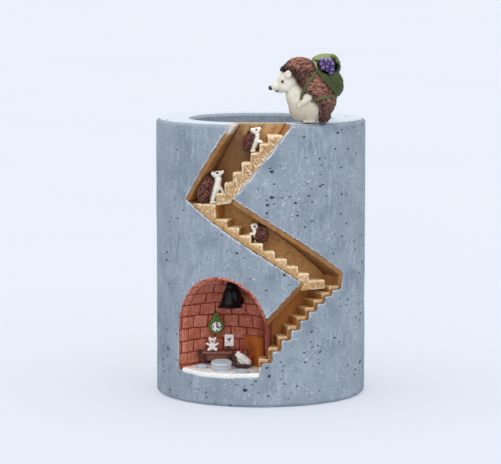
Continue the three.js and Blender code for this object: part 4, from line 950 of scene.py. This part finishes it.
def make_bench():
    dressed("bench_top", "bench_board", BENCH_PAINT, "wood", 0.14, 5, 0.05)
    dressed("bench_apron", "bench_rail", BENCH_PAINT, "wood", 0.14, 4, 0.05)
    dressed("bench_left_leg", "bench_left_post", DARK_WOOD, "dark_wood", 0.12, 5, 0.05)
    dressed("bench_right_leg", "bench_right_post", DARK_WOOD, "dark_wood", 0.12, 5, 0.05)
    scroll = skin_of("bench_scroll", "bench_roll", 0.1, 5)
    points = points_of(scroll)
    x, _, z = (points - points.mean(0)).T
    spiral = (np.hypot(z, x) / SCROLL_PITCH - np.arctan2(z, x) / (2 * math.pi)) % 1
    on_end = np.abs(normals_of(scroll)[:, 1]) > 0.7
    swell(scroll, -0.16 * (1 - ramp(np.abs(spiral - 0.5), 0.08, 0.3)) * on_end)
    finish_piece(scroll, DARK_WOOD, "dark_wood", "bench_scroll", wear_and_shade=(5, 0.08))


def make_bear():
    low, high = corners_of("toy_bear")
    size = high[2] - low[2]
    foot = np.array([(low[0] + high[0]) / 2, high[1] - 0.24 * size, low[2]])

    def part(dx, dy, dz, radii, tilt=0, turn=0):
        return ball(foot + np.array([dx, dy, dz]) * size, np.array(radii) * size, tilt, turn)

    forms = [
        part(0, 0, 0.3, (0.23, 0.19, 0.28)),
        part(0, -0.03, 0.44, (0.18, 0.16, 0.14)),
        part(0, -0.04, 0.72, (0.23, 0.2, 0.2)),
        part(0, -0.19, 0.67, (0.11, 0.1, 0.085)),
    ]
    features = [part(0.01, -0.3, 0.7, (0.075, 0.045, 0.06))]
    for side in (-1, 1):
        forms += [
            part(side * 0.19, -0.02, 0.87, (0.1, 0.06, 0.1)),
            part(side * 0.25, -0.06, 0.44, (0.17, 0.085, 0.085), side * -25, side * -20),
            part(side * 0.38, -0.1, 0.5, (0.085, 0.085, 0.085)),
            part(side * 0.2, -0.17, 0.12, (0.12, 0.2, 0.11), 0, side * 20),
            part(side * 0.26, -0.32, 0.13, (0.1, 0.06, 0.12)),
        ]
        features.append(part(side * 0.09, -0.23, 0.77, (0.028, 0.02, 0.03)))
    features += [part(0, -0.19, z, (0.022, 0.02, 0.022)) for z in (0.26, 0.38)]
    bear = sculpted("bear_toy", forms, 0.11, 4)
    swell(bear, 0.04 * noise(points_of(bear), 0.5, 15))
    finish_piece(bear, WHITE_PAINT, "white", "toy_bear", wear_and_shade=(8, 0.1))
    make_features("bear_features", features)


def make_picture():
    dressed("picture_stand", "picture_easel", DARK_WOOD, "dark_wood", 0.09, 3)
    dressed("picture_frame", "picture_panel", WHITE_PAINT, "pale_grey", 0.07, 2, 0.02)
    x, y, z = centre_of("picture_frame")
    front = y - 0.16
    stem = [(x + 0.15, front, z - 1.1), (x, front, z - 0.3), (x, front, z + 0.2)]
    sprig = [tube(curve(stem, 10), 0.22, 0.1, sides=8)]
    for side, rise in ((-1, 0.35), (1, 0.6)):
        sprig.append(ball((x + side * 0.36, front, z + rise), (0.66, 0.07, 0.32), side * -52, detail=2))
    make_features("picture_sprig", sprig)


def shaped_round(node, name, voxel, shape):
    """A round thing on the sloping floor, reshaped by its own radius, angle and height."""
    obj = skin_of(node, name, voxel, 3)
    points = leaned(points_of(obj) - FLOOR_ORIGIN, -FLOOR_TILT)
    low, high = points.min(0), points.max(0)
    x, y, _ = (points - (low + high) / 2).T
    angle = np.arctan2(y, x)
    reach = np.hypot(x, y) / ((high[0] - low[0]) / 2)
    share = (points[:, 2] - low[2]) / (high[2] - low[2])
    outward, upward = shape(reach, angle, share)
    points += np.stack([np.cos(angle) * outward, np.sin(angle) * outward, upward], 1)
    move_points(obj, leaned(points, FLOOR_TILT) + FLOOR_ORIGIN)
    finish_piece(obj, PALE_PAINT, "pale_grey", node, wear_and_shade=(6, 0.08))


def drum_shape(reach, angle, share):
    flutes = 0.5 + 0.5 * np.cos(DRUM_FLUTES * angle)
    side = ramp(reach, 0.85, 0.95) * ramp(share, 0.06, 0.14) * (1 - ramp(share, 0.66, 0.72))
    lip = ramp(reach, 0.85, 0.95) * np.exp(-(((share - 0.76) / 0.05) ** 2))
    dish = (1 - ramp(reach, 0.72, 0.86)) * ramp(share, 0.85, 0.95)
    return -side * (0.22 + 0.2 * flutes) - 0.12 * lip, -0.16 * dish


def stool_shape(reach, angle, share):
    crown = ramp(share, 0.5, 0.9) * (0.3 * (1 - reach**2) - 0.1)
    seam = ramp(reach, 0.85, 0.97) * np.exp(-(((share - 0.45) / 0.12) ** 2))
    return -0.18 * seam, crown


def mat_shape(reach, angle, share):
    rings = 0.5 + 0.5 * np.cos(reach * 2 * math.pi * MAT_RINGS)
    scallop = ramp(reach, 0.8, 1.0) * 0.12 * np.cos(MAT_SCALLOPS * angle)
    return scallop, -ramp(share, 0.5, 0.9) * 0.14 * rings


def make_floor_things():
    floor = skin_of("room_floor", "floor_slab", 0.28, 2)
    points = points_of(floor)
    front = ramp(from_axis(points), POT_RADIUS - 6, POT_RADIUS - 0.6)
    points[:, 2] += np.minimum(lip_rise(points[:, 0]), FLOOR_EDGE_RISE) * front
    move_points(floor, points)
    press_into_wall(floor, WALL_JOINT + 0.06 * noise(points_of(floor), 1.6, 19))
    finish_piece(floor, WHITE_PAINT, "white", "room_floor", wear_and_shade=(6, 0.17))
    shaped_round("drum_table", "fluted_drum", 0.12, drum_shape)
    shaped_round("low_stool", "padded_stool", 0.11, stool_shape)
    shaped_round("round_mat", "ringed_mat", 0.1, mat_shape)


def make_chair():
    low, high = corners_of("rocking_chair")
    back, front = low[0] + 0.4, high[0]
    left, right = low[1] + 0.75, high[1] - 0.75
    middle = (low[1] + high[1]) / 2
    floor, seat_z, top = low[2], low[2] + 1.1, high[2] - 0.2
    forms = []
    for y in (left, right):
        rocker = [
            (back + 0.2, y, seat_z + 0.5), (back + 2, y, floor + 0.55),
            (front - 3, y, floor + 0.5), (front - 0.4, y, floor + 1.2),
        ]
        post = [(back, y, top), (back + 0.5, y, seat_z + 2.4), (back + 1.3, y, floor + 0.7)]
        forms += [tube(curve(rocker, 20), 0.75, 0.7), tube(curve(post, 16), 0.75, 0.7)]
        forms.append(ball((back, y, top), (0.5, 0.5, 0.5), detail=2))
    slats = [
        (back + 0.05, top - 0.5), (back + 0.3, top - 2.2), (back + 0.8, top - 3.9),
        (back + 3.4, seat_z - 0.2), (back + 5.2, seat_z - 0.2),
    ]
    for x, z in slats:
        forms.append(tube(curve([(x, left, z), (x, right, z)], 8), 0.75, 0.5, facing=(1, 0, 0)))
    board = [(back + 1.2, middle, floor + 0.9), (front - 2.2, middle, floor + 0.9)]
    forms.append(tube(curve(board, 8), 2.4, 0.5, facing=(0, 0, 1)))
    chair = sculpted("rocker_frame", forms, 0.12, 4)
    finish_piece(chair, DARK_WOOD, "dark_wood", "rocking_chair", wear_and_shade=(6, 0.1))

    blanket = skin_of("chair_blanket", "folded_blanket", 0.12, 12)
    points = points_of(blanket)
    folds = np.sin((points[:, 0] * 0.8 + points[:, 2] * 1.1) * 2.6 + 1.2 * noise(points, 2, 16))
    swell(blanket, 0.16 * folds + 0.08 * noise(points, 0.9, 17))
    finish_piece(blanket, WHITE_PAINT, "white", "chair_blanket", wear_and_shade=(8, 0.12))
    dressed("red_cushion", "red_cap", RED_PAINT, "red", 0.09, 8, 0.06)
    dressed("red_slippers", "red_shoes", RED_PAINT, "red", 0.09, 8, 0.06)
    reader = dressed("chair_reader", "reader_hair", SPINE_PAINT, "spine_brown", 0.09, 8, 0.14)
    tufts = noise(points_of(reader), 0.6, 18)
    mark(reader, tone=0.4 + 0.4 * tufts, dark=0.35, root=ramp(-tufts, 0, 0.8))


# Hedgehogs, made of balls that are given as (place, radii, tilt, turn) with the figure facing +X

def mirrored(shapes):
    """Balls with their mirror images: each one beside the figure's middle comes on both sides."""
    for (x, y, z), radii, *angles in shapes:
        tilt, turn = (*angles, 0, 0)[:2]
        for side in (-1, 1) if y else (1,):
            yield np.array([x, side * y, z]), radii, tilt, side * turn


def placed(shapes, origin, facing):
    """A figure's balls, set at its place and turned to face +X or -X."""
    forms = []
    for at, radii, tilt, turn in mirrored(shapes):
        forms.append(ball(origin + at * [facing, 1, 1], radii, facing * tilt, facing * turn))
    return forms


def spine_roots(obj, spacing, allowed):
    """Vertices of a skin about spacing apart, among those allowed."""
    points = points_of(obj)
    taken, chosen = {}, []
    for index in random.permutation(np.flatnonzero(allowed)):
        cell = tuple(np.floor(points[index] / spacing).astype(int))
        near = (taken.get(tuple(np.add(cell, step))) for step in itertools.product((-1, 0, 1), repeat=3))
        if all(other is None or np.linalg.norm(points[other] - points[index]) > spacing for other in near):
            taken[cell] = index
            chosen.append(index)
    return np.array(chosen)


# Rings of a spine from its root: share of its length, girth, lift in widths and depth of the painted shade at
# its root
SPINE_RINGS = [(0.0, 0.75, -0.5, 1.0), (0.3, 1.0, 0.55, 0.45), (0.65, 0.8, 0.75, 0.0), (1.0, 0.12, 0.35, 0.0)]
SPINE_SIDES = 6
SPINE_BEND = 0.2
SPINE_FLATNESS = 0.8
SPINE_SCATTER = 0.8
DARK_SHORTENING = 0.45


def make_spines(name, coat, roots, foot, face, length, width, dark, material):
    """Tapered spines that lie back from the face over the coat, each with its own tone."""
    points, normals = points_of(coat)[roots], normals_of(coat)[roots]
    flow = points - face
    flow += SPINE_SCATTER * np.stack([noise(points, 2.5, seed) for seed in (21, 22, 23)], 1)
    flow -= (flow * normals).sum(1)[:, None] * normals
    flow /= np.maximum(np.linalg.norm(flow, axis=1), 1e-6)[:, None]
    across = np.cross(normals, flow)
    count = len(roots)
    shortening = np.where(dark(points) > 0.9, DARK_SHORTENING, 1)
    lengths = length * random.uniform(0.8, 1.2, count) * shortening
    widths = width * random.uniform(0.8, 1.2, count)
    rings = []
    for along, girth, lift, _ in SPINE_RINGS:
        rise = lift * widths - SPINE_BEND * along**2 * lengths
        middle = points + flow * (along * lengths)[:, None] + normals * rise[:, None]
        half = (0.5 * girth * widths)[:, None]
        for angle in np.arange(SPINE_SIDES) * 2 * math.pi / SPINE_SIDES:
            side = across * half * math.cos(angle)
            up = normals * half * SPINE_FLATNESS * math.sin(angle)
            rings.append(middle + side + up)
    spine_points = np.stack(rings, 1)
    spine_points[:, :, 2] = np.maximum(spine_points[:, :, 2], foot)
    template = ring_faces(len(SPINE_RINGS), SPINE_SIDES)
    spines = mesh_object(name, *joined((spine, template) for spine in spine_points))
    each = len(rings)
    root = np.repeat([ring[3] for ring in SPINE_RINGS], SPINE_SIDES)
    tone = np.repeat(random.uniform(0, 1, count), each)
    mark(spines, tone=tone, dark=np.repeat(dark(points), each), root=np.tile(root, count))
    finish_piece(spines, material, "spine_brown")


def make_coat(figure, tufts, voxel, rounds, bare, face, spacing, length, width, dark, material):
    """A hedgehog's back: a rounded skin under many spines, none of them in the bare places."""
    node, name = f"{figure}_coat", f"{figure}_back"
    coat = skin_of(node, name, voxel, rounds, tufts)
    foot = corners_of(node)[0][2]
    swell(coat, -1.3 * width * (0.3 + 0.7 * ramp(points_of(coat)[:, 2], foot, foot + 8 * width)))
    points = points_of(coat)
    outer = points[:, 2] > foot + 0.7 * width
    for at, radii in bare:
        outer &= np.linalg.norm((points - at) / (np.asarray(radii) + 0.55), axis=1) > 1
    roots = spine_roots(coat, spacing, outer)
    make_spines(f"{name}_spines", coat, roots, foot, face, length, width, dark, material)
    # the skin under the spines gets at least half the painted shade
    mark(coat, tone=0.3 + 0.3 * noise(points, 1.0, 24), dark=np.maximum(dark(points), 0.5), root=0.5)
    finish_piece(coat, material, "spine_brown", node)


# Rim hedgehog, which faces -X
FLIP = np.array([-1, 1, 1])
RIM_ORIGIN = centre_of("rim_hedgehog_nose") - FLIP * (15.2, 0, 13.7)
RIM_BODY = [
    ((2.0, 0, 6.3), (6.2, 5.6, 6.3)),
    ((5.0, 0, 11.0), (4.4, 4.6, 5.0)),
    ((3.9, 0, 8.8), (4.9, 5.0, 4.6)),
    ((8.3, 0, 16.2), (4.4, 4.3, 4.2)),
    ((-2.2, 0, 3.0), (2.6, 4.0, 3.0)),
    ((8.6, 0, 18.4), (3.2, 3.2, 2.4)),
    ((11.5, 0, 14.9), (4.0, 2.3, 2.1), 17),
    ((11.0, 0, 13.2), (2.6, 2.0, 1.5), 10),
    ((9.2, 2.4, 14.4), (2.6, 1.9, 2.0)),
    ((10.0, 2.5, 17.8), (1.7, 1.1, 0.9), 30),
    ((-0.6, 3.8, 5.4), (3.6, 2.0, 4.2), -8),
    ((0.4, 5.0, 10.2), (2.3, 1.5, 1.8), 40),
    ((2.2, 5.4, 8.5), (2.3, 1.25, 1.25), 35),
    ((3.8, 5.3, 7.2), (1.2, 1.0, 1.0)),
    ((-0.3, 3.4, 0.9), (2.4, 1.4, 0.9)),
]
RIM_EARS = [((8.3, 4.7, 19.5), (1.5, 0.9, 1.6), 0, 18), ((8.5, 3.6, 18.7), (1.2, 1.5, 1.2))]
RIM_DIGITS = [
    ((4.7, 4.9, 6.8), (0.5, 0.4, 0.4)),
    ((4.6, 5.5, 6.5), (0.5, 0.4, 0.4)),
    ((4.3, 6.0, 6.4), (0.45, 0.4, 0.4)),
    ((1.9, 2.6, 0.6), (0.7, 0.42, 0.5)),
    ((2.0, 3.4, 0.6), (0.7, 0.42, 0.5)),
    ((1.8, 4.2, 0.6), (0.7, 0.42, 0.5)),
]
RIM_NOSE = [((15.2, 0, 13.8), (1.0, 1.05, 0.95)), ((14.6, 0, 13.7), (0.8, 0.8, 0.7))]
RIM_EYES = [((10.6, 4.0, 16.5), (0.55, 0.4, 0.62))]
RIM_TUFTS = [
    ((9.9, 0, 20.8), (1.9, 3.2, 1.6)),
    ((8.4, 0, 21.2), (2.4, 3.6, 2.0)),
    ((9.3, 0, 21.6), (2.0, 3.4, 1.7)),
    ((7.9, 0, 22.5), (2.2, 3.6, 2.1)),
]
SMILE_WIDTHS = [0.3, 0.4, 0.45, 0.5, 0.5, 0.45, 0.4, 0.35, 0.25, 0.15]
POCKET = ((7.8, -5.0, 23.2), (4.6, 4.0, 3.6))


def rim_shade(points):
    """How dark the rim hedgehog's coat is: at its forehead, its edge, its foot and under the bag."""
    x, _, z = ((points - RIM_ORIGIN) * FLIP).T
    tuft = ramp(x, 8.8, 10.0) * (1 - ramp(z, 21.6, 22.8))
    edge = 0.6 * ramp(x + 0.75 * (z - 14), 1.0, 5.5) * (1 - ramp(z, 19.5, 23))
    low = 0.75 * (1 - ramp(z, 2, 13))
    pocket = np.linalg.norm((points - RIM_ORIGIN - POCKET[0]) / POCKET[1], axis=1) < 1.6
    return np.max([tuft, edge, low, pocket & (x < -3.6)], axis=0)


def make_rim_hedgehog():
    forms = placed(RIM_BODY + RIM_EARS + RIM_DIGITS, RIM_ORIGIN, -1)
    body = sculpted("rim_hedgehog_figure", forms, 0.2, 11)
    points = points_of(body)
    fur = np.sin(3.2 * (points[:, 0] + 0.4 * points[:, 2]) + 2.5 * noise(points, 3, 25))
    swell(body, 0.03 * fur + 0.05 * noise(points, 1.4, 26))
    for side in (-1, 1):
        ear_hollow = RIM_ORIGIN + (-8.3, side * 5.6, 19.7)
        away = np.linalg.norm(points_of(body) - ear_hollow, axis=1)
        swell(body, -0.35 * (1 - ramp(away, 0.3, 1.1)))
    floor = RIM_ORIGIN[2]
    points = keep_between(body, floor)
    mark(body, shade=0.75 * (1 - ramp(points[:, 2] - floor, 3, 13)))
    finish_piece(body, CREAM_PAINT, "cream", "rim_hedgehog_body", wear_and_shade=(20, 0.3))

    make_features("rim_hedgehog_snout_tip", placed(RIM_NOSE, RIM_ORIGIN, -1), "rim_hedgehog_nose")
    for label, eye in zip(("left", "right"), placed(RIM_EYES, RIM_ORIGIN, -1)):
        make_features(f"rim_hedgehog_{label}_bead", [eye], f"rim_hedgehog_{label}_eye")
    smile = []
    for side in (-1, 1):
        route = [(13.4, side * 1.25, 12.45), (12.7, side * 1.85, 12.5), (11.9, side * 2.25, 13.0)]
        line = curve(RIM_ORIGIN + route * FLIP, len(SMILE_WIDTHS))
        smile.append(tube(line, SMILE_WIDTHS, 0.35))
    make_features("rim_hedgehog_mouth", smile)

    bare = [(RIM_ORIGIN + at * FLIP, radii) for at, radii, *_ in mirrored(RIM_BODY[:4] + RIM_EARS[:1])]
    bare.append((RIM_ORIGIN + POCKET[0], POCKET[1]))
    make_coat(
        "rim_hedgehog", placed(RIM_TUFTS, RIM_ORIGIN, -1), 0.24, 24, bare, RIM_ORIGIN + (-11, 0, 15),
        0.5, 2.6, 0.58, rim_shade, SPINE_PAINT,
    )


# Leaf bag with grapes, its places from the rim hedgehog's origin

# Rows of grapes: height, first place across, count and pitch
GRAPE_ROWS = [
    (24.7, 5.2, 3, 1.4), (23.6, 4.8, 4, 1.4), (22.5, 5.7, 3, 1.55), (21.4, 7.2, 2, 1.5), (20.4, 8.5, 1, 1.5),
]
GRAPE_RADIUS = 1.03
GRAPE_DEPTH = 5.6
LEAF_EDGE = ((3.9, 19.2), (11.3, 10.5))
LEAF_BRIM = [((9.6, -0.6, 26.6), (2.0, 4.6, 0.8)), ((11.0, -0.6, 25.5), (1.4, 4.6, 1.1))]
RIDGE_PITCH = 1.35
FLAP_BEND_X = 8
FLAP_DROOP = 0.1
FLAP_PLEATS = 46
STRAP_ROUTES = {
    "upper": [(3.9, 21.7), (2.4, 19.9), (0.1, 17.1), (-1.9, 13.6), (-3.0, 11.0), (-3.3, 9.4)],
    "lower": [(10.3, 11.2), (8.0, 10.8), (5.5, 10.3), (2.9, 9.5), (0.8, 9.0)],
}


def make_bag():
    """The pouch has ridges that run beside the leaf's edge, a pale upper panel and a pocket darkened with
    painted shade.
    """
    bag = skin_of("leaf_bag", "leaf_pouch", 0.2, 14)
    points = points_of(bag) - RIM_ORIGIN
    x, _, z = points.T
    (start_x, start_z), (end_x, end_z) = LEAF_EDGE
    run = math.hypot(end_x - start_x, end_z - start_z)
    across = ((x - start_x) * (start_z - end_z) + (z - start_z) * (end_x - start_x)) / run
    ridge = 0.5 + 0.5 * np.cos(2 * math.pi * (across - 0.5) / RIDGE_PITCH + 1.3 * noise(points, 4, 20))
    # painted shade: the pocket's opening is drawn dark
    inside = 1 - ramp(np.linalg.norm((points - POCKET[0]) / POCKET[1], axis=1), 1.0, 1.1)
    panel = ramp(z, 20.5, 22) * (1 - ramp(x - 0.57 * (z - 22), 2.6, 3.8))
    vein = ridge * (1 - inside)
    swell(bag, 0.15 * vein - 0.06)
    mark(bag, vein=0.4 * ramp(vein, 0.3, 1) * (1 - panel), pale=panel, inside=inside)
    finish_piece(bag, LEAF_PAINT, "leaf_green", "leaf_bag", wear_and_shade=(8, 0.14))


def make_flap():
    brim = [ball(RIM_ORIGIN + at, radii) for at, radii in LEAF_BRIM]
    flap = skin_of("leaf_flap", "leaf_cover", 0.18, 10, brim)
    points = points_of(flap)
    x, y, _ = (points - RIM_ORIGIN).T
    points[:, 2] -= FLAP_DROOP * np.maximum(x - FLAP_BEND_X, 0) ** 2
    move_points(flap, points)
    pleats = np.sin(np.arctan2(y + 9, x + 4) * FLAP_PLEATS)
    swell(flap, 0.14 * pleats)
    mark(flap, vein=0.5 * ramp(pleats, 0, 1), pale=1 - 0.6 * ramp(x, 7, 9.5), inside=0)
    finish_piece(flap, LEAF_PAINT, "leaf_green", "leaf_flap", wear_and_shade=(8, 0.14))


def make_grapes():
    places = []
    for z, start, count, pitch in GRAPE_ROWS:
        for k in range(count):
            jitter = random.uniform(-0.24, 0.24, 3)
            places.append(RIM_ORIGIN + (start + k * pitch, -GRAPE_DEPTH, z) + jitter)
    grapes = [ball(place, (GRAPE_RADIUS, GRAPE_RADIUS, GRAPE_RADIUS * 1.05)) for place in places]
    cluster = mesh_object("grape_bunch", *joined(grapes))
    away = np.linalg.norm(points_of(cluster)[:, None] - np.array(places), axis=2)
    second = np.sort(away, axis=1)[:, 1]
    # painted highlight on the grapes' upward faces, kept in the edge mark
    lit_tops = 0.9 * ramp(normals_of(cluster)[:, 2], 0.6, 0.95)
    # painted shade where one grape meets another, kept in the crease mark
    mark(cluster, edge=lit_tops, crease=1 - ramp(second, GRAPE_RADIUS, GRAPE_RADIUS + 0.55))
    finish_piece(cluster, GRAPE_PAINT, "grape_purple", "grape_cluster")


def make_straps():
    """Leaf bands that run over the coat from the bag to the hands."""
    covered = ("rim_hedgehog_figure", "rim_hedgehog_back_spines")
    below = np.vstack([points_of(bpy.data.objects[name]) for name in covered]) - RIM_ORIGIN
    for (part, route), (side, label) in itertools.product(STRAP_ROUTES.items(), ((-1, "left"), (1, "right"))):
        line = curve([(x, 0, z) for x, z in route], 40)
        for point in line:
            near = np.hypot(below[:, 0] - point[0], below[:, 2] - point[2]) < 0.5
            point[1] = (side * below[near, 1]).max()
        line[:, 1] = side * (np.convolve(np.pad(line[:, 1], 4, "edge"), np.full(9, 1 / 9), "valid") + 0.2)
        band = tube(RIM_ORIGIN + line, 1.15, 0.5, facing=(0, side, 0))
        strap = sculpted(f"{label}_{part}_band", [band], 0.1, 3)
        mark(strap, vein=0.3, pale=0.22, inside=0)
        finish_piece(strap, LEAF_PAINT, "leaf_green", f"{label}_{part}_strap", wear_and_shade=(6, 0.08))


# The first two balls of each body are its trunk and neck or head, where no spines grow.
STAIR_HEDGEHOGS = {
    "landing_hedgehog": {
        "facing": 1, "nose": (3.9, 0, 13.1), "nose_size": 0.4, "eye": (0.95, 1.62, 12.4), "eye_size": 0.46,
        "tufts": [((-4.6, 0, 4.8), (2.6, 2.3, 4.4), 15)],
        "body": [
            ((0.2, 0, 5.6), (1.7, 2.0, 5.4), 19), ((1.2, 0, 9.4), (1.5, 1.6, 1.9), 10),
            ((0.8, 0, 11.7), (2.2, 1.6, 1.4), -15), ((2.6, 0, 12.6), (1.3, 0.75, 0.65), -20),
            ((2.5, 0, 12.1), (1.1, 0.6, 0.45), -15), ((-0.9, 1.4, 12.1), (0.75, 0.4, 0.75)),
            ((1.9, 1.3, 6.4), (1.9, 0.75, 0.75), 42), ((3.1, 1.4, 4.6), (0.75, 0.6, 0.6), 25),
            ((-0.6, 1.0, 2.4), (0.9, 0.9, 2.2), 20), ((-0.7, 1.0, 0.6), (1.6, 0.8, 0.6)),
            ((0.6, 1.0, 0.5), (0.5, 0.6, 0.45)),
        ],
    },
    "upper_hedgehog": {
        "facing": 1, "nose": (3.8, 0, 10.0), "nose_size": 0.42, "eye": (1.7, 1.45, 9.0), "eye_size": 0.42,
        "tufts": [],
        "body": [
            ((1.2, 0, 4.2), (1.5, 1.7, 4.2), 17), ((1.4, 0, 8.3), (1.9, 1.5, 1.4), -27),
            ((2.8, 0, 9.2), (1.1, 0.7, 0.7), -32), ((0.1, 1.3, 8.9), (0.65, 0.35, 0.65)),
            ((2.7, 1.1, 4.3), (1.6, 0.65, 0.65), 10), ((3.8, 1.2, 4.0), (0.6, 0.5, 0.5)),
            ((0.4, 0.8, 0.6), (1.2, 0.75, 0.6)),
        ],
    },
    "middle_hedgehog": {
        "facing": -1, "nose": (2.9, 0, 7.2), "nose_size": 0.38, "eye": (1.2, 1.38, 6.5), "eye_size": 0.46,
        "tufts": [((-1.7, 0, 2.6), (2.6, 2.2, 2.5)), ((0.1, 0, 2.9), (1.8, 3.2, 2.8))],
        "body": [
            ((0.6, 0, 3.3), (1.3, 1.7, 3.1), 12), ((1.1, 0, 6.1), (1.6, 1.4, 1.3), -28),
            ((2.1, 0, 6.7), (1.0, 0.7, 0.6), -32), ((0.0, 1.2, 6.5), (0.5, 0.35, 0.5)),
            ((1.1, 0, 6.5), (1.4, 1.3, 1.3)), ((1.5, 0, 5.8), (1.1, 1.1, 1.0)),
            ((2.0, 1.2, 3.5), (1.2, 0.6, 0.6)), ((2.9, 1.3, 3.4), (0.5, 0.45, 0.45)),
            ((0.5, 0.8, 0.6), (1.0, 0.7, 0.6)),
        ],
    },
}


def stair_shade(points):
    """How dark a stair hedgehog's coat is: most at its foot and at its top."""
    low, high = points[:, 2].min(), points[:, 2].max()
    share = (points[:, 2] - low) / (high - low)
    return np.maximum(0.42 + 0.3 * (1 - ramp(share, 0.0, 0.45)), 0.8 * ramp(share, 0.8, 0.97))


def make_stair_hedgehog(name, figure):
    facing, nose = figure["facing"], figure["nose"]
    turn = np.array([facing, 1, 1])
    origin = centre_of(f"{name}_nose") - nose * turn
    body = sculpted(f"{name}_figure", placed(figure["body"], origin, facing), 0.13, 5)
    swell(body, 0.03 * noise(points_of(body), 0.8, 27))
    keep_between(body, origin[2])
    finish_piece(body, FIGURE_CREAM, "cream", f"{name}_body", wear_and_shade=(12, 0.16))
    size = figure["nose_size"]
    tip = placed([(nose, (size, size, 0.9 * size))], origin, facing)
    make_features(f"{name}_snout_tip", tip, f"{name}_nose")
    size = figure["eye_size"]
    make_features(f"{name}_eyes", placed([(figure["eye"], (size, 0.6 * size, size))], origin, facing))
    bare = [(origin + at * turn, np.array(radii) - 0.3) for at, radii, *_ in figure["body"][:2]]
    face = origin + np.array([4.0, 0, nose[2] - 2]) * turn
    tufts = placed(figure["tufts"], origin, facing)
    make_coat(name, tufts, 0.14, 16, bare, face, 0.42, 1.4, 0.44, stair_shade, RUDDY_SPINES)


# Studio

PAPER_REACH = 12000
SUN_COLOUR = (1.0, 0.99, 0.98)
SKY_COLOUR = (0.95, 0.97, 1.0, 1.0)


def make_floor():
    reach = PAPER_REACH
    corners = [(-reach, -reach, 0), (reach, -reach, 0), (reach, reach, 0), (-reach, reach, 0)]
    floor = mesh_object("studio_floor", corners, [(0, 1, 2, 3)])
    paper = Paint("studio_paper", (157, 162, 170), 0.1)
    paper.layers([((155, 160, 169), (400, 0.3, 0.7))])
    paper.shader.inputs["Emission Color"].default_value = rgb(162, 166, 172)
    paper.shader.inputs["Emission Strength"].default_value = 1.0
    floor.data.materials.append(paper.done(0.8, 0.9, 300))


def add_sun(name, towards, strength, softness):
    light = bpy.data.lights.new(name, "SUN")
    light.energy = strength
    light.angle = math.radians(softness)
    light.color = SUN_COLOUR
    lamp = link(bpy.data.objects.new(name, light))
    lamp.rotation_euler = Vector(towards).to_track_quat("-Z", "Y").to_euler()


def light_scene():
    world = bpy.data.worlds.new("studio")
    world.use_nodes = True
    sky = world.node_tree.nodes["Background"]
    sky.inputs["Color"].default_value = SKY_COLOUR
    sky.inputs["Strength"].default_value = 0.6
    bpy.context.scene.world = world
    add_sun("top_light", (0.02, 0.2, -1), 2.4, 110)
    add_sun("front_light", (-0.3, 1, -0.35), 0.5, 60)


def add_camera():
    camera = bpy.data.cameras.new("photo_camera")
    camera.lens = CAMERA_LENS
    camera.sensor_width = SENSOR_WIDTH
    camera.sensor_fit = "HORIZONTAL"
    camera.clip_start = 0.01
    camera.clip_end = 100
    holder = link(bpy.data.objects.new("photo_camera", camera))
    holder.location = np.array(CAMERA_PLACE) * MM
    holder.rotation_euler = (math.pi / 2 - CAMERA_PITCH, 0, 0)
    bpy.context.scene.camera = holder


MAKERS = [
    add_camera, make_floor, light_scene, make_pot, make_plug, make_stairwell, make_steps, make_brick_wall,
    make_door, make_lamp, make_clock, make_bench, make_bear, make_picture, make_floor_things, make_chair,
    make_rim_hedgehog, make_bag, make_flap, make_grapes, make_straps,
]
for make in MAKERS:
    make()
for hedgehog, drawn in STAIR_HEDGEHOGS.items():
    make_stair_hedgehog(hedgehog, drawn)

bpy.context.scene.view_settings.view_transform = "Standard"
